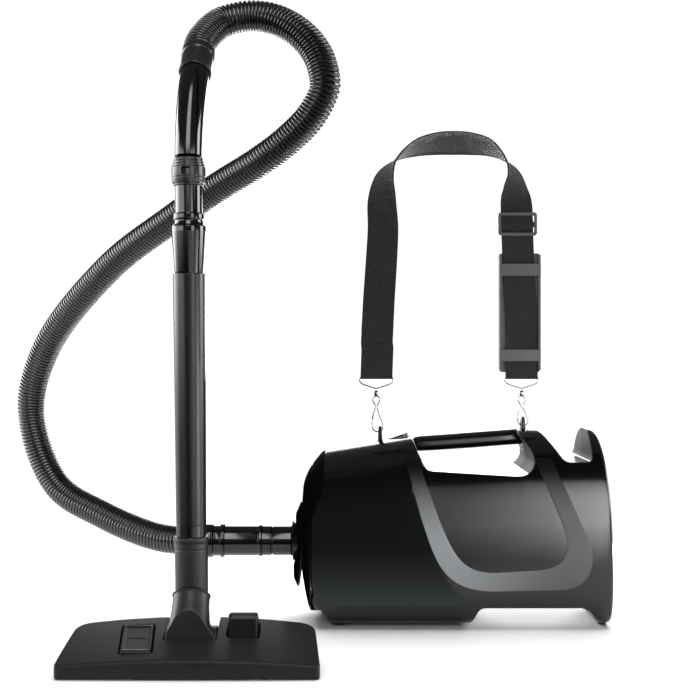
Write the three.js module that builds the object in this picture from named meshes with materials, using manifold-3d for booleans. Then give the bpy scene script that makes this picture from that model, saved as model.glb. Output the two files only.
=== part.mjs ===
// Portable canister vacuum with a shoulder strap, ribbed hose, bent handle, wand and floor tool.
// Millimetres, +Z up, floor at Z = 0.  The canister lies along X with its nose at -X.
import * as THREE from 'three';
import { mergeVertices } from 'three/addons/utils/BufferGeometryUtils.js';
import Module from 'manifold-3d';

const wasm = await Module();
wasm.setup();

// ---------------------------------------------------------------- driving dimensions
const GAP = 0.3;                 // clearance between neighbouring pieces
const SEAM_X = -109;             // joint between front cover and housing
const WALL = 4;                  // housing wall
const TOP_EXP = 2.3;             // roundness of the canister's crown
const BASE_EXP = 4;              // squareness of its belly
const INLET_Z = 94.5;            // height of the hose inlet axis
const MOTOR_Z = 103;             // height of the motor axis
const CAVITY_TOP = 176;
const MOTOR_FLOOR = 30;
const HOSE_R = 17.7;
const CUFF_L = 38;                // length of the hose's cuff on the handle
const WAND_FOOT = [-229.6, -257];
const WAND_LEAN = -0.45;         // degrees about Y
const HANDLE_YAW = 5;            // degrees, direction the handle bends to, from +Y
const HANDLE_R = 177;            // bend radius of the handle tube
const HEAD_X = -229;             // centre of the floor tool
const HEAD_FRONT = -331;
const HEAD_BACK = -235;
const NECK_TILT = 32;            // degrees, swivel plane of the neck
const NECK_Z = 73.1;             // height of the swivel centre
const PIVOT = [-266, 21];        // Y, Z of the neck pivot
const STRAP_W = 40;
const STRAP_T = 2;

// Canister outline: [x, top height], [x, bottom height], [x, half width].
const TOP_LINE = [[-120, 165], [-119.5, 171], [-112, 187], [-102, 200], [-94.6, 208.5], [14, 225.8],
  [136, 234.6], [145, 235.6], [252, 236.6]];
const COVER_BASE = [[-120, 62], [-116, 42], [-111.4, 24], [-108, 21.5]];
const BODY_BASE = [[-109, 21.5], [-97, 21.5], [-96.5, 15], [-85, 2], [252, 2]];
const HALF_WIDTH = [[-120, 76], [-119, 81], [-116.5, 84.5], [-112, 87], [-105, 88.2], [-60, 90.5], [0, 92],
  [180, 92], [236, 91], [247, 89.5], [252, 86.5]];

// ---------------------------------------------------------------- helpers
const parts = [];
const V = (x, y, z) => new THREE.Vector3(x, y, z);
const rad = THREE.MathUtils.degToRad;

function along(line, x) {
  if (x <= line[0][0]) return line[0][1];
  for (let i = 1; i < line.length; i += 1) {
    const [x0, a] = line[i - 1];
    const [x1, b] = line[i];
    if (x <= x1) return a + (b - a) * (x - x0) / (x1 - x0);
  }
  return line[line.length - 1][1];
}

function closed(geometry) {
  const bare = geometry.clone();
  for (const key of Object.keys(bare.attributes)) if (key !== 'position') bare.deleteAttribute(key);
  const g = mergeVertices(bare, 1e-4);
  const p = g.attributes.position;
  const idx = Array.from(g.index.array);
  const kept = [];
  let volume = 0;
  for (let i = 0; i < idx.length; i += 3) {
    const [a, b, c] = [idx[i], idx[i + 1], idx[i + 2]];
    if (a === b || b === c || a === c) continue;
    kept.push(a, b, c);
    const va = V().fromBufferAttribute(p, a);
    const vb = V().fromBufferAttribute(p, b);
    const vc = V().fromBufferAttribute(p, c);
    volume += va.dot(vb.cross(vc));
  }
  if (volume < 0) {
    for (let i = 0; i < kept.length; i += 3) [kept[i], kept[i + 1]] = [kept[i + 1], kept[i]];
  }
  g.setIndex(kept);
  return g;
}

function manifold(geometry) {
  const g = closed(geometry);
  const mesh = new wasm.Mesh({
    numProp: 3,
    vertProperties: Float32Array.from(g.attributes.position.array),
    triVerts: Uint32Array.from(g.index.array),
  });
  return new wasm.Manifold(mesh);
}

function geometryOf(solid) {
  const mesh = solid.getMesh();
  const g = new THREE.BufferGeometry();
  g.setAttribute('position', new THREE.BufferAttribute(Float32Array.from(mesh.vertProperties), 3));
  g.setIndex(Array.from(mesh.triVerts));
  return g;
}

const join = (...gs) => geometryOf(gs.map(manifold).reduce((a, b) => a.add(b)));
const cut = (base, ...tools) => geometryOf(tools.map(manifold).reduce((a, b) => a.subtract(b), manifold(base)));
const common = (...gs) => geometryOf(gs.map(manifold).reduce((a, b) => a.intersect(b)));

function add(name, geometry, color, roughness, metalness = 0) {
  const g = closed(geometry);
  g.computeVertexNormals();
  const mesh = new THREE.Mesh(g, new THREE.MeshStandardMaterial({ color, roughness, metalness, flatShading: true }));
  mesh.name = name;
  parts.push(mesh);
  return mesh;
}

function box(x0, x1, y0, y1, z0, z1) {
  const g = new THREE.BoxGeometry(x1 - x0, y1 - y0, z1 - z0);
  g.translate((x0 + x1) / 2, (y0 + y1) / 2, (z0 + z1) / 2);
  return g;
}

const shapeOf = (pts) => new THREE.Shape(pts.map(([a, b]) => new THREE.Vector2(a, b)));

function roundedRect(a0, a1, b0, b1, r) {
  const s = new THREE.Shape();
  s.moveTo(a0 + r, b0);
  s.lineTo(a1 - r, b0);
  s.absarc(a1 - r, b0 + r, r, -Math.PI / 2, 0, false);
  s.lineTo(a1, b1 - r);
  s.absarc(a1 - r, b1 - r, r, 0, Math.PI / 2, false);
  s.lineTo(a0 + r, b1);
  s.absarc(a0 + r, b1 - r, r, Math.PI / 2, Math.PI, false);
  s.lineTo(a0, b0 + r);
  s.absarc(a0 + r, b0 + r, r, Math.PI, Math.PI * 1.5, false);
  return s;
}

function prism(shape, depth, segments) {
  return new THREE.ExtrudeGeometry(shape, { depth, bevelEnabled: false, curveSegments: segments });
}

function prismY(shape, y0, y1, segments = 5) {
  const g = prism(shape, y1 - y0, segments);
  g.rotateX(Math.PI / 2);
  g.translate(0, y1, 0);
  return g;
}

function prismX(shape, x0, x1, segments = 4) {
  const g = prism(shape, x1 - x0, segments);
  g.applyMatrix4(new THREE.Matrix4().makeBasis(V(0, 1, 0), V(0, 0, 1), V(1, 0, 0)));
  g.translate(x0, 0, 0);
  return g;
}

function prismZ(shape, z0, z1, segments = 4) {
  const g = prism(shape, z1 - z0, segments);
  g.translate(0, 0, z0);
  return g;
}

// Turned piece: profile of [radius, height] pairs, closed here, about the +Z axis.
function turned(profile, segments = 24) {
  const pts = profile.map(([r, h]) => new THREE.Vector2(r, h));
  if (profile[0][0] > 0) pts.push(pts[0].clone());
  const g = new THREE.LatheGeometry(pts, segments);
  g.rotateX(Math.PI / 2);
  return g;
}

function turnedX(profile, y, z, segments = 24) {
  const g = turned(profile, segments);
  g.rotateY(Math.PI / 2);
  g.translate(0, y, z);
  return g;
}

const ring = (r0, r1, h0, h1) => [[r0, h0], [r1, h0], [r1, h1], [r0, h1]];
const disc = (r, h0, h1) => [[0, h0], [r, h0], [r, h1], [0, h1]];

function cylinderAlong(from, to, r, segments = 20) {
  const d = to.clone().sub(from);
  const g = new THREE.CylinderGeometry(r, r, d.length(), segments);
  g.translate(0, d.length() / 2, 0);
  g.applyQuaternion(new THREE.Quaternion().setFromUnitVectors(V(0, 1, 0), d.normalize()));
  g.translate(from.x, from.y, from.z);
  return g;
}

// Skin over a row of rings with equal point counts, closed with a fan at each end.
function loft(rings) {
  const n = rings[0].length;
  const pos = [];
  const idx = [];
  rings.forEach((r) => r.forEach((p) => pos.push(p.x, p.y, p.z)));
  for (let i = 0; i + 1 < rings.length; i += 1) {
    for (let k = 0; k < n; k += 1) {
      const a = i * n + k;
      const b = i * n + (k + 1) % n;
      idx.push(a, b, b + n, a, b + n, a + n);
    }
  }
  [0, rings.length - 1].forEach((i) => {
    const c = rings[i].reduce((s, p) => s.add(p), V(0, 0, 0)).divideScalar(n);
    const m = pos.length / 3;
    pos.push(c.x, c.y, c.z);
    for (let k = 0; k < n; k += 1) {
      const a = i * n + k;
      const b = i * n + (k + 1) % n;
      if (i === 0) idx.push(m, b, a);
      else idx.push(m, a, b);
    }
  });
  const g = new THREE.BufferGeometry();
  g.setAttribute('position', new THREE.Float32BufferAttribute(pos, 3));
  g.setIndex(idx);
  return g;
}

// Squared oval in the YZ plane at x, with different exponents above and below its middle.
function ovalX(x, yc, half, bottom, top, upper, lower, n = 32) {
  const zc = (top + bottom) / 2;
  const h = (top - bottom) / 2;
  return Array.from({ length: n }, (_, k) => {
    const t = 2 * Math.PI * k / n;
    const c = Math.cos(t);
    const s = Math.sin(t);
    const e = 2 / (s >= 0 ? upper : lower);
    return V(x, yc + half * Math.sign(c) * Math.abs(c) ** e, zc + h * Math.sign(s) * Math.abs(s) ** e);
  });
}

function bodyRing(x, base, inset, n = 32) {
  return ovalX(x, 0, along(HALF_WIDTH, x) - inset, along(base, x) + inset, along(TOP_LINE, x) - inset,
    TOP_EXP, BASE_EXP, n);
}

function wire(points, r, steps, sides = 6) {
  const circle = new THREE.Shape();
  circle.absarc(0, 0, r, 0, Math.PI * 2, false);
  const curve = new THREE.CatmullRomCurve3(points, false, 'centripetal');
  return new THREE.ExtrudeGeometry(circle, { steps, extrudePath: curve, curveSegments: sides });
}

// ---------------------------------------------------------------- canister housing
const bodyStations = [SEAM_X, -102, -97, -96.5, -85, -60, 14, 136, 236, 247, 252];
const rearEdge = [[250.3, 12], [250.8, 60], [249.7, 110], [247, 160], [243, 206], [240, 229], [236.5, 237.5]];

function rearProfile(inset) {
  const pts = rearEdge.map(([x, z]) => [x - inset, z]);
  return prismY(shapeOf([[-140, -10], [249 - inset, -10], ...pts, [236.5 - inset, 260], [-140, 260]]), -130, 130);
}

const bodySkin = (inset) => common(loft(bodyStations.map((x) => bodyRing(x, BODY_BASE, inset))), rearProfile(inset));

// Hand hole with the scoops beside the grip, seen from the side; e shrinks it.
function scoop(e) {
  const s = new THREE.Shape();
  s.moveTo(14.5 + e, 250);
  s.lineTo(14.5 + e, 226);
  s.lineTo(20 + e, 208);
  s.lineTo(24 + e, 200);
  s.quadraticCurveTo(25 + e, 188.5 + e, 38, 187.5 + e);
  s.lineTo(136, 182 + e);
  s.quadraticCurveTo(154 - e, 181 + e, 158.5 - e, 198);
  s.quadraticCurveTo(159 - e, 211, 143.5 - e, 228);
  s.lineTo(143.5 - e, 250);
  return s;
}

const notch = new THREE.Shape();
notch.moveTo(164, 250);
notch.lineTo(164, 238);
notch.quadraticCurveTo(170, 236, 173.5, 230);
notch.lineTo(191, 205);
notch.quadraticCurveTo(195.5, 198.4, 202, 198.4);
notch.lineTo(221, 198.4);
notch.quadraticCurveTo(228, 198.4, 228, 206);
notch.lineTo(228, 250);

const arch = new THREE.Shape();
arch.moveTo(76, -6);
arch.lineTo(81.5, 2);
arch.lineTo(88, 17);
arch.quadraticCurveTo(91, 26, 99, 26);
arch.lineTo(211, 26);
arch.quadraticCurveTo(221, 25, 227, 16);
arch.lineTo(238, 2);
arch.lineTo(242, -6);

function cavity(stations, top, bottom, inset = WALL) {
  return loft(stations.map((x, i) => ovalX(x, 0, along(HALF_WIDTH, x) - inset, bottom[i], top[i],
    TOP_EXP, BASE_EXP, 20)));
}

const bagRoomX = [-116, -102, -95, -82, -60, -16, -8, 50];
const bagRoomTop = [178, 194, 203, 206, 209, 216, CAVITY_TOP, CAVITY_TOP];
const bagRoom = cavity(bagRoomX, bagRoomTop, [25, 25, 25, 7, 7, 7, 7, 7]);
const fanRoom = cavity([64, 118], [CAVITY_TOP, CAVITY_TOP], [MOTOR_FLOOR, MOTOR_FLOOR]);
const motorRoom = cavity([124, 237], [CAVITY_TOP, CAVITY_TOP], [MOTOR_FLOOR, MOTOR_FLOOR]);
const bulkheadHole = turnedX(disc(45, 48, 66), 0, MOTOR_Z, 28);
const ribHole = turnedX(disc(52, 116, 126), 0, MOTOR_Z, 28);
const exhaustWindow = box(230, 262, -60, 60, 52, 150);

// Solid bar that carries the grip sleeve.
const gripCore = loft([[10, 211, 221], [80, 215, 226], [150, 219, 230]].map(([x, z0, z1]) =>
  [V(x, -8, z0), V(x, 8, z0), V(x, 8, z1), V(x, -8, z1)]));
const gripCoreRoom = loft([[10, 211, 221], [80, 215, 226], [150, 219, 230]].map(([x, z0, z1]) =>
  [V(x, -8 - GAP, z0 - GAP), V(x, 8 + GAP, z0 - GAP), V(x, 8 + GAP, z1 + GAP), V(x, -8 - GAP, z1 + GAP)]));

// Satin band let into each side: a U with its bottom near the floor side, e grows it.
function band(e) {
  const s = new THREE.Shape();
  s.moveTo(3 - e, 203 + e);
  s.lineTo(21 - e, 136);
  s.bezierCurveTo(38 - e, 84, 46, 47 - e, 108, 47 - e);
  s.lineTo(188, 48.5 - e);
  s.bezierCurveTo(224, 50 - e, 230 + e, 82, 221 + e, 105);
  s.lineTo(177.5 + e, 203 + e);
  s.lineTo(158 - e, 203 + e);
  s.lineTo(191 - e, 120);
  s.bezierCurveTo(203 - e, 84, 186, 73 + e, 152, 71.5 + e);
  s.lineTo(110, 69 + e);
  s.bezierCurveTo(70, 68 + e, 60 + e, 90, 42.5 + e, 133);
  s.lineTo(18 + e, 203 + e);
  return s;
}

const bandLayer = cut(bodySkin(-0.3), bodySkin(1.5));
const bandNear = common(prismY(band(0), -110, -35), bandLayer);
const bandFar = common(prismY(band(0), 35, 110), bandLayer);
const grooveLayer = cut(bodySkin(-2), bodySkin(1.8));
const grooves = common(join(prismY(band(GAP), -112, -33), prismY(band(GAP), 33, 112)), grooveLayer);

// Round-headed screws driven from the far side into the solid parts of the housing.
const screws = [['housing_screw_front', 4, 200, 52], ['housing_screw_rear', 206, 187, 60]];
const screwSolid = (x, z, y, e) => {
  const g = turned([[0, -44 - e], [2.2 + e, -44 - e], [2.2 + e, -3 - e], [4.5 + e, -3 - e], [4.5 + e, e], [0, e]], 12);
  g.rotateX(-Math.PI / 2);
  g.translate(x, y, z);
  return g;
};
const screwWell = (x, z, y) => cylinderAlong(V(x, y - 0.5, z), V(x, 100, z), 5, 12);

const foot = (x, y, w, d, z, e) => box(x - w / 2 - e, x + w / 2 + e, y - d / 2 - e, y + d / 2 + e, e > 0 ? -3 : 0, z + e);
const feet = [['foot_front', -75, 0, 12, 116], ['foot_rear', 243.2, 0, 8, 104]];

const bezelWell = prismZ(roundedRect(-15.4, 12.4, -9.4, 9.4, 9), 217.4, 260, 5);
const eyeletWells = [box(-28.3, -21.2, -9.3, 9.3, 211, 230), box(149.2, 157.3, -9.3, 9.3, 228, 250)];
const glandHole = turnedX(disc(7.3, 236, 262), 52, 34, 16);

let housing = cut(
  bodySkin(0), prismY(scoop(0), -120, 120, 6), prismY(notch, -120, 120), prismY(arch, -120, 120),
  bagRoom, fanRoom, motorRoom, bulkheadHole, ribHole, exhaustWindow, grooves,
);
housing = join(housing, gripCore);
housing = cut(
  housing, bezelWell, ...eyeletWells, glandHole, box(-12.4, 12.4, -40.4, 40.4, -2, 3.6),
  ...feet.map(([, x, y, w, d]) => foot(x, y, w, d, 9, GAP)),
  ...screws.map(([, x, z, y]) => screwSolid(x, z, y, GAP)),
  ...screws.map(([, x, z, y]) => screwWell(x, z, y)),
);
add('housing_near', common(housing, box(-200, 300, -150, -GAP / 2, -20, 300)), 0x0c0d0f, 0.12);
add('housing_far', common(housing, box(-200, 300, GAP / 2, 150, -20, 300)), 0x0c0d0f, 0.12);
add('side_band_near', bandNear, 0x6d7073, 0.45);
add('side_band_far', bandFar, 0x6d7073, 0.45);
screws.forEach(([name, x, z, y]) => add(name, screwSolid(x, z, y, 0), 0x9a9a98, 0.4, 0.9));
feet.forEach(([name, x, y, w, d]) => add(name, foot(x, y, w, d, 8.6, 0), 0x1a1a1a, 0.9));
add('base_pad', box(-12, 12, -40, 40, 0, 3.3), 0x1a1a1a, 0.9);

// Grip sleeve round the core bar.
const gripStations = [12, 16, 24, 60, 100, 134, 146];
const gripHalf = [15, 16, 17, 17, 17, 17, 15];
const gripLoft = loft(gripStations.map((x, i) => ovalX(x, 0, gripHalf[i], 206.8 + (x - 15) * 0.062,
  along(TOP_LINE, x) - 0.2, 2.6, 2.6, 24)));
add('handle_grip', cut(common(gripLoft, prismY(scoop(0.4), -30, 30, 6)), gripCoreRoom), 0x141516, 0.5);

// Rocker switch in its bezel, just ahead of the grip.
const bezelTop = shapeOf([[-16, 217], [13.5, 217], [13.5, 226.6], [-16, 222]]);
const bezel = cut(common(prismZ(roundedRect(-15, 12, -9, 9, 8.7), 217.8, 240, 5), prismY(bezelTop, -20, 20)),
  prismZ(roundedRect(-13.4, 10.6, -7, 7, 6.7), 218.8, 260, 5));
add('switch_bezel', bezel, 0x505256, 0.3);
const rocker = shapeOf([[-12.4, 220.8], [9.4, 220.8], [9.4, 230.6], [4, 228.6], [-12.4, 223.2]]);
add('power_switch', common(prismY(rocker, -6.6, 6.6), prismZ(roundedRect(-12.4, 9.4, -6.4, 6.4, 6), 210, 240, 5)),
  0x101113, 0.3);

// Strap eyelets: upright tapered plates with a hole for the hook.
function eyelet(x, z0, z1, holeZ) {
  const blade = shapeOf([[x - 3, z0], [x + 3.2, z0], [x + 1.7, z1], [x - 1.9, z1]]);
  const plate = common(prismY(blade, -9, 9), prismX(roundedRect(-9, 9, z0 - 1, z1, 7), x - 5, x + 5, 4));
  return cut(plate, turnedX(disc(4, x - 8, x + 8), 0, holeZ, 14));
}
add('strap_eyelet_front', eyelet(-24.8, 212, 237.6, 231), 0x3a3b3d, 0.5);
add('strap_eyelet_rear', eyelet(153.2, 229, 249.5, 240.6), 0x3a3b3d, 0.5);
add('cord_gland', turnedX([[3.6, 238], [7, 238], [7, 252], [5.6, 259], [3.6, 259]], 52, 34, 16), 0x1a1a1a, 0.8);

// ---------------------------------------------------------------- front cover, latch and inlet
const coverStations = [-120, -119.5, -118, -115, -112, SEAM_X - GAP];
const coverSkin = (inset) => loft(coverStations.map((x) => bodyRing(x, COVER_BASE, inset)));
const coverRoom = loft([-116.8, -114, -100].map((x) => bodyRing(x, COVER_BASE, 4)));
const coverTab = join(box(-113, -97.3, -44, 44, 17, 21.1), box(-113, -109.6, -44, 44, 17, 26));
const inletBore = (r) => turnedX(disc(r, -150, -60), 0, INLET_Z, 28);
add('front_cover', cut(join(cut(coverSkin(0), coverRoom), coverTab), inletBore(23.3)), 0x08090a, 0.08);
const sealRing = (inset) => loft([-107.5, -104].map((x) => ovalX(x, 0, along(HALF_WIDTH, x) - inset,
  21 + inset, along(TOP_LINE, x - 2) - inset, TOP_EXP, BASE_EXP, 28)));
const sealCore = (inset) => loft([-110, -101].map((x) => ovalX(x, 0, along(HALF_WIDTH, x) - inset,
  21 + inset, along(TOP_LINE, x - 2) - inset, TOP_EXP, BASE_EXP, 28)));
add('cover_seal', cut(sealRing(8), sealCore(12)), 0x2a2a2a, 0.95);
add('inlet_sleeve', turnedX([[19.2, -134.5], [24.5, -134.5], [24.5, -131.5], [22.9, -131.5], [22.9, -92], [19.2, -92]],
  0, INLET_Z, 28), 0x101113, 0.25);

// Latch: dished shield around the inlet with a tail that stands off the cover at the bottom.
function shieldRing(x, grow) {
  return Array.from({ length: 28 }, (_, k) => {
    const t = 2 * Math.PI * k / 28;
    const tail = Math.max(0, -Math.sin(t)) ** 3;
    return V(x - 4.5 * tail, (37 - 20 * tail + grow) * Math.cos(t), INLET_Z + (49 + 8 * tail + grow) * Math.sin(t));
  });
}
const shield = loft([shieldRing(-120.6, 0), shieldRing(-123.5, -0.5), shieldRing(-129.5, -14)]);
const shieldHollow = loft([shieldRing(-118, -2.5), shieldRing(-121.5, -3), shieldRing(-127, -16)]);
const latchHole = loft([[-100, 30], [-140, 30]].map(([x, r]) => Array.from({ length: 24 }, (_, k) => {
  const t = 2 * Math.PI * k / 24;
  return V(x, r * Math.cos(t), INLET_Z + r * Math.sin(t));
})));
add('cover_latch', cut(shield, shieldHollow, latchHole), 0x141517, 0.2);

// ---------------------------------------------------------------- inside the canister
const bagHalf = [8, 40, 60, 66, 62, 44, 8];
const bagHigh = [8, 46, 66, 72, 66, 44, 8];
add('dust_bag', loft([-88, -80, -60, -25, 10, 34, 42].map((x, i) =>
  ovalX(x, 0, bagHalf[i], 92 - bagHigh[i], 92 + bagHigh[i], 2.6, 2.6, 20))), 0xc9b48c, 0.9);
add('bag_collar', cut(prismX(roundedRect(-46, 46, 48, 141, 8), -91, -88.4), inletBore(17)), 0xb79a6a, 0.9);
add('pre_motor_filter', turnedX(disc(52, 44, 49.7), 0, MOTOR_Z, 24), 0x3d5f86, 0.95);
add('motor_seal_front', turnedX(ring(50, 62, 64.4, 71), 0, MOTOR_Z, 28), 0x202020, 0.9);
add('fan_shroud', turnedX([[24, 71.3], [62, 71.3], [62, 108], [49.5, 110], [49.5, 107.6], [59.6, 106], [59.6, 73.6],
  [24, 73.6]], 0, MOTOR_Z, 28), 0xb8bcc0, 0.35, 0.9);
add('fan_impeller', turnedX([[4.3, 76], [20, 76], [22, 78], [55, 80], [55, 88], [20, 90], [4.3, 90]], 0, MOTOR_Z, 24),
  0xc4c7ca, 0.4, 0.9);
add('motor_frame', turnedX([[10, 110.4], [48, 110.4], [48, 178], [28, 182], [10, 182], [10, 179], [26, 179], [45, 176],
  [45, 113], [10, 113]], 0, MOTOR_Z, 28), 0x8a8d90, 0.45, 0.8);
add('motor_seal_rear', turnedX(ring(48.3, 51.7, 116.4, 125.6), 0, MOTOR_Z, 28), 0x202020, 0.9);
add('stator', turnedX(ring(25, 44.6, 122, 158), 0, MOTOR_Z, 24), 0xa56a35, 0.5, 0.3);
add('rotor', turnedX([[0, 75], [4, 75], [4, 126], [23.5, 126], [23.5, 154], [14, 156], [14, 168], [4, 168], [4, 186],
  [0, 186]], 0, MOTOR_Z, 20), 0x9c7a52, 0.4, 0.6);
add('bearing_front', turnedX(ring(4.3, 9.7, 110.4, 116), 0, MOTOR_Z, 18), 0xb5b8bb, 0.3, 1);
add('bearing_rear', turnedX(ring(4.3, 9.7, 176.5, 182), 0, MOTOR_Z, 18), 0xb5b8bb, 0.3, 1);
add('carbon_brush_near', box(158.6, 167, -26, -14.4, MOTOR_Z - 4, MOTOR_Z + 4), 0x30302f, 0.7);
add('carbon_brush_far', box(158.6, 167, 14.4, 26, MOTOR_Z - 4, MOTOR_Z + 4), 0x30302f, 0.7);
add('exhaust_filter', prismX(roundedRect(-58, 58, 54, 148, 6), 214, 234), 0xe4e4e0, 0.95);
const slots = Array.from({ length: 9 }, (_, i) => box(230, 270, -52, 52, 58 + i * 9.6, 63 + i * 9.6));
add('exhaust_grille', cut(prismX(roundedRect(-59.6, 59.6, 52.4, 149.6, 1), 238, 246.5), ...slots), 0x121314, 0.5);

// ---------------------------------------------------------------- hose, handle and wand
const lean = new THREE.Matrix4().makeRotationY(rad(WAND_LEAN)).setPosition(WAND_FOOT[0], WAND_FOOT[1], 0);
const leaned = (g) => g.clone().applyMatrix4(lean);
const bendDir = V(Math.sin(rad(HANDLE_YAW)), Math.cos(rad(HANDLE_YAW)), 0);
const BEND = [5, 38.5];          // degrees of tilt at the two ends of the handle tube
const BEND_Z = 537.8;

class HandleArc extends THREE.Curve {
  getPoint(t, target = V()) {
    const a = rad(BEND[0] + (BEND[1] - BEND[0]) * t);
    const a0 = rad(BEND[0]);
    const back = HANDLE_R * (Math.cos(a0) - Math.cos(a));
    return target.copy(bendDir).multiplyScalar(back).setZ(BEND_Z + HANDLE_R * (Math.sin(a) - Math.sin(a0)));
  }
}

function circleShape(r) {
  const s = new THREE.Shape();
  s.absarc(0, 0, r, 0, Math.PI * 2, false);
  return s;
}

const sweep = (r, curve, steps, sides) => new THREE.ExtrudeGeometry(circleShape(r),
  { steps, extrudePath: curve, curveSegments: sides });

const arcPath = new HandleArc();
const arcEnd = arcPath.getPoint(1);
const cuffDir = bendDir.clone().multiplyScalar(Math.sin(rad(BEND[1]))).setZ(Math.cos(rad(BEND[1])));
add('handle_tube', leaned(cut(sweep(14.4, arcPath, 8, 9), sweep(12, arcPath, 8, 6))), 0x0b0c0d, 0.1);

function onCuff(g) {
  const m = new THREE.Matrix4().makeRotationFromQuaternion(new THREE.Quaternion().setFromUnitVectors(V(0, 0, 1), cuffDir));
  m.setPosition(arcEnd.x, arcEnd.y, arcEnd.z);
  return leaned(g.clone().applyMatrix4(m));
}
const handleCuff = [[12.2, 0.3], [17.2, 0.3], [17.8, 1.5], [17.8, 5], [17.3, 6], [17.4, 27], [18.4, 29], [18.4, 36],
  [17.9, 37.7], [12.2, 37.7]];
add('hose_cuff_handle', onCuff(turned(handleCuff, 24)), 0x17181a, 0.45);

const bleedWindow = box(-5, 5, -24, -14.1, 514, 527);
add('bleed_ring', leaned(cut(turned([[14.8, 506.3], [16.4, 506.3], [17.7, 509], [17.7, 533], [16.8, 536], [14.8, 536]],
  24), bleedWindow)), 0x151618, 0.35);
const lowerHandle = [[11.8, 408], [13.4, 408], [15.4, 413.6], [15.6, 416], [18.4, 458], [18.4, 463.4], [16, 465],
  [15, 470], [16.5, 470.4], [16.5, 476.4], [14.5, 477], [14.5, 536], [11.8, 536]];
add('handle_lower', leaned(turned(lowerHandle, 24)), 0x0a0b0c, 0.1);
add('wand_tube', leaned(turned([[12.6, 112], [14.6, 112], [15.2, 137], [15.9, 149], [17.35, 411], [17.35, 413.2],
  [15.8, 413.2], [13.8, 406.5], [12.9, 402], [12.6, 150]], 24)), 0x3c3d3e, 0.65);

// Collar: socket at the floor tool end, its foot cut along the swivel plane.
const neckAxis = V(0, Math.sin(rad(NECK_TILT)), Math.cos(rad(NECK_TILT)));
const swivel = V(WAND_FOOT[0] + 0.4, WAND_FOOT[1], NECK_Z);
function belowSwivel(offset) {
  const g = new THREE.BoxGeometry(120, 120, 120);
  g.translate(0, 0, -60 + offset);
  g.rotateX(-rad(NECK_TILT));
  g.translate(swivel.x, swivel.y, swivel.z);
  return g;
}
const collarSolid = leaned(turned([[15.6, 50], [17.3, 50], [17.7, 129], [18.4, 131], [18.4, 134], [17.6, 135.4],
  [15.6, 135.4]], 24));
add('wand_collar', cut(collarSolid, belowSwivel(GAP / 2)), 0x3e3f40, 0.6);

// ---------------------------------------------------------------- neck of the floor tool
function neckRing(distance, rx, ry) {
  const c = swivel.clone().addScaledVector(neckAxis, -distance);
  return Array.from({ length: 24 }, (_, k) => {
    const t = 2 * Math.PI * k / 24;
    const v = ry * Math.sin(t);
    return V(c.x + rx * Math.cos(t), c.y + v * neckAxis.z, c.z - v * neckAxis.y);
  });
}
function baseRing(z, rx, y0, y1) {
  return Array.from({ length: 24 }, (_, k) => {
    const t = 2 * Math.PI * k / 24;
    const c = Math.cos(t);
    const s = Math.sin(t);
    return V(HEAD_X + rx * Math.sign(c) * Math.abs(c) ** 0.4, (y0 + y1) / 2 + (y1 - y0) / 2 * Math.sign(s) * Math.abs(s) ** 0.4, z);
  });
}
const neckOuter = loft([neckRing(GAP / 2, 19.4, 19.4), neckRing(13, 19.6, 19.4), neckRing(26, 21.2, 20.4),
  baseRing(33, 24.4, -290, -247), baseRing(24, 24.8, -290, -250)]);
const knuckle = turnedX(disc(17.6, HEAD_X - 24.8, HEAD_X + 24.8), PIVOT[0], PIVOT[1], 24);
const neckBore = cylinderAlong(swivel.clone().addScaledVector(neckAxis, 4), V(HEAD_X, -272, 34), 13.5, 18);
const neckBoreLow = cylinderAlong(V(HEAD_X, -268, 40), V(HEAD_X, -268, -10), 12.5, 18);
const neck = cut(join(cut(neckOuter, box(-300, -150, -340, -287.2, -10, 100)), knuckle), neckBore, neckBoreLow);
add('neck', cut(neck, turnedX(disc(3.3, HEAD_X - 40, HEAD_X + 40), PIVOT[0], PIVOT[1], 12)), 0x37383a, 0.55);

// ---------------------------------------------------------------- floor tool
const headU = [-1, -0.985, -0.95, -0.8, -0.45, 0, 0.45, 0.8, 0.95, 0.985, 1];
function headRing(u, inset, floor) {
  const a = Math.abs(u);
  const corner = a > 0.9 ? ((a - 0.9) / 0.1) ** 3 : 0;
  const y0 = HEAD_FRONT + inset + 8 * corner + 2 * u * u;
  const y1 = HEAD_BACK - inset - 10 * corner - 3 * u * u;
  const h0 = 20.6 - 4 * u * u - inset - 3 * corner;
  const h1 = 44 - 5.5 * u * u - inset - 5 * corner;
  const half = 133 - inset;
  const xAt = (y) => HEAD_X + u * (half - 11 * (y - HEAD_FRONT) / 96);
  const p = (y, z) => V(xAt(y), y, z);
  return [p(y0, floor), p(y0 - 0.4, h0 - 5), p(y0 + 2.4, h0 - 0.8), p(y0 + 6, h0 + 1), p((y0 + y1) / 2, (h0 + h1) / 2 + 1.2),
    p(y1 - 6, h1 - 0.4), p(y1 - 1.5, h1 - 2.5), p(y1, h1 - 7), p(y1, floor)];
}
const headSkin = loft(headU.map((u) => headRing(u, 0, 1.2)));
const headRoom = cut(loft(headU.map((u) => headRing(u, 2.6, -4))),
  box(HEAD_X - 29, HEAD_X + 29, -291.5, -200, 3, 80),
  box(-308.4, -260.6, -315.4, -245.6, 9.4, 80), box(-192.6, -156, -283, -246, 9.4, 80));
const neckSlot = box(HEAD_X - 25.6, HEAD_X + 25.6, -288.3, -200, -10, 90);
const pedalSlotL = box(-305.6, -263.4, -312.9, -248.4, -10, 80);
const pedalSlotR = box(-189.8, -158.8, -280, -249, -10, 80);
const axleHole = turnedX(disc(3.3, HEAD_X - 29.2, HEAD_X + 29.2), PIVOT[0], PIVOT[1], 12);
add('head_shell', cut(headSkin, headRoom, neckSlot, pedalSlotL, pedalSlotR, axleHole), 0x2f3032, 0.6);
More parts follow.
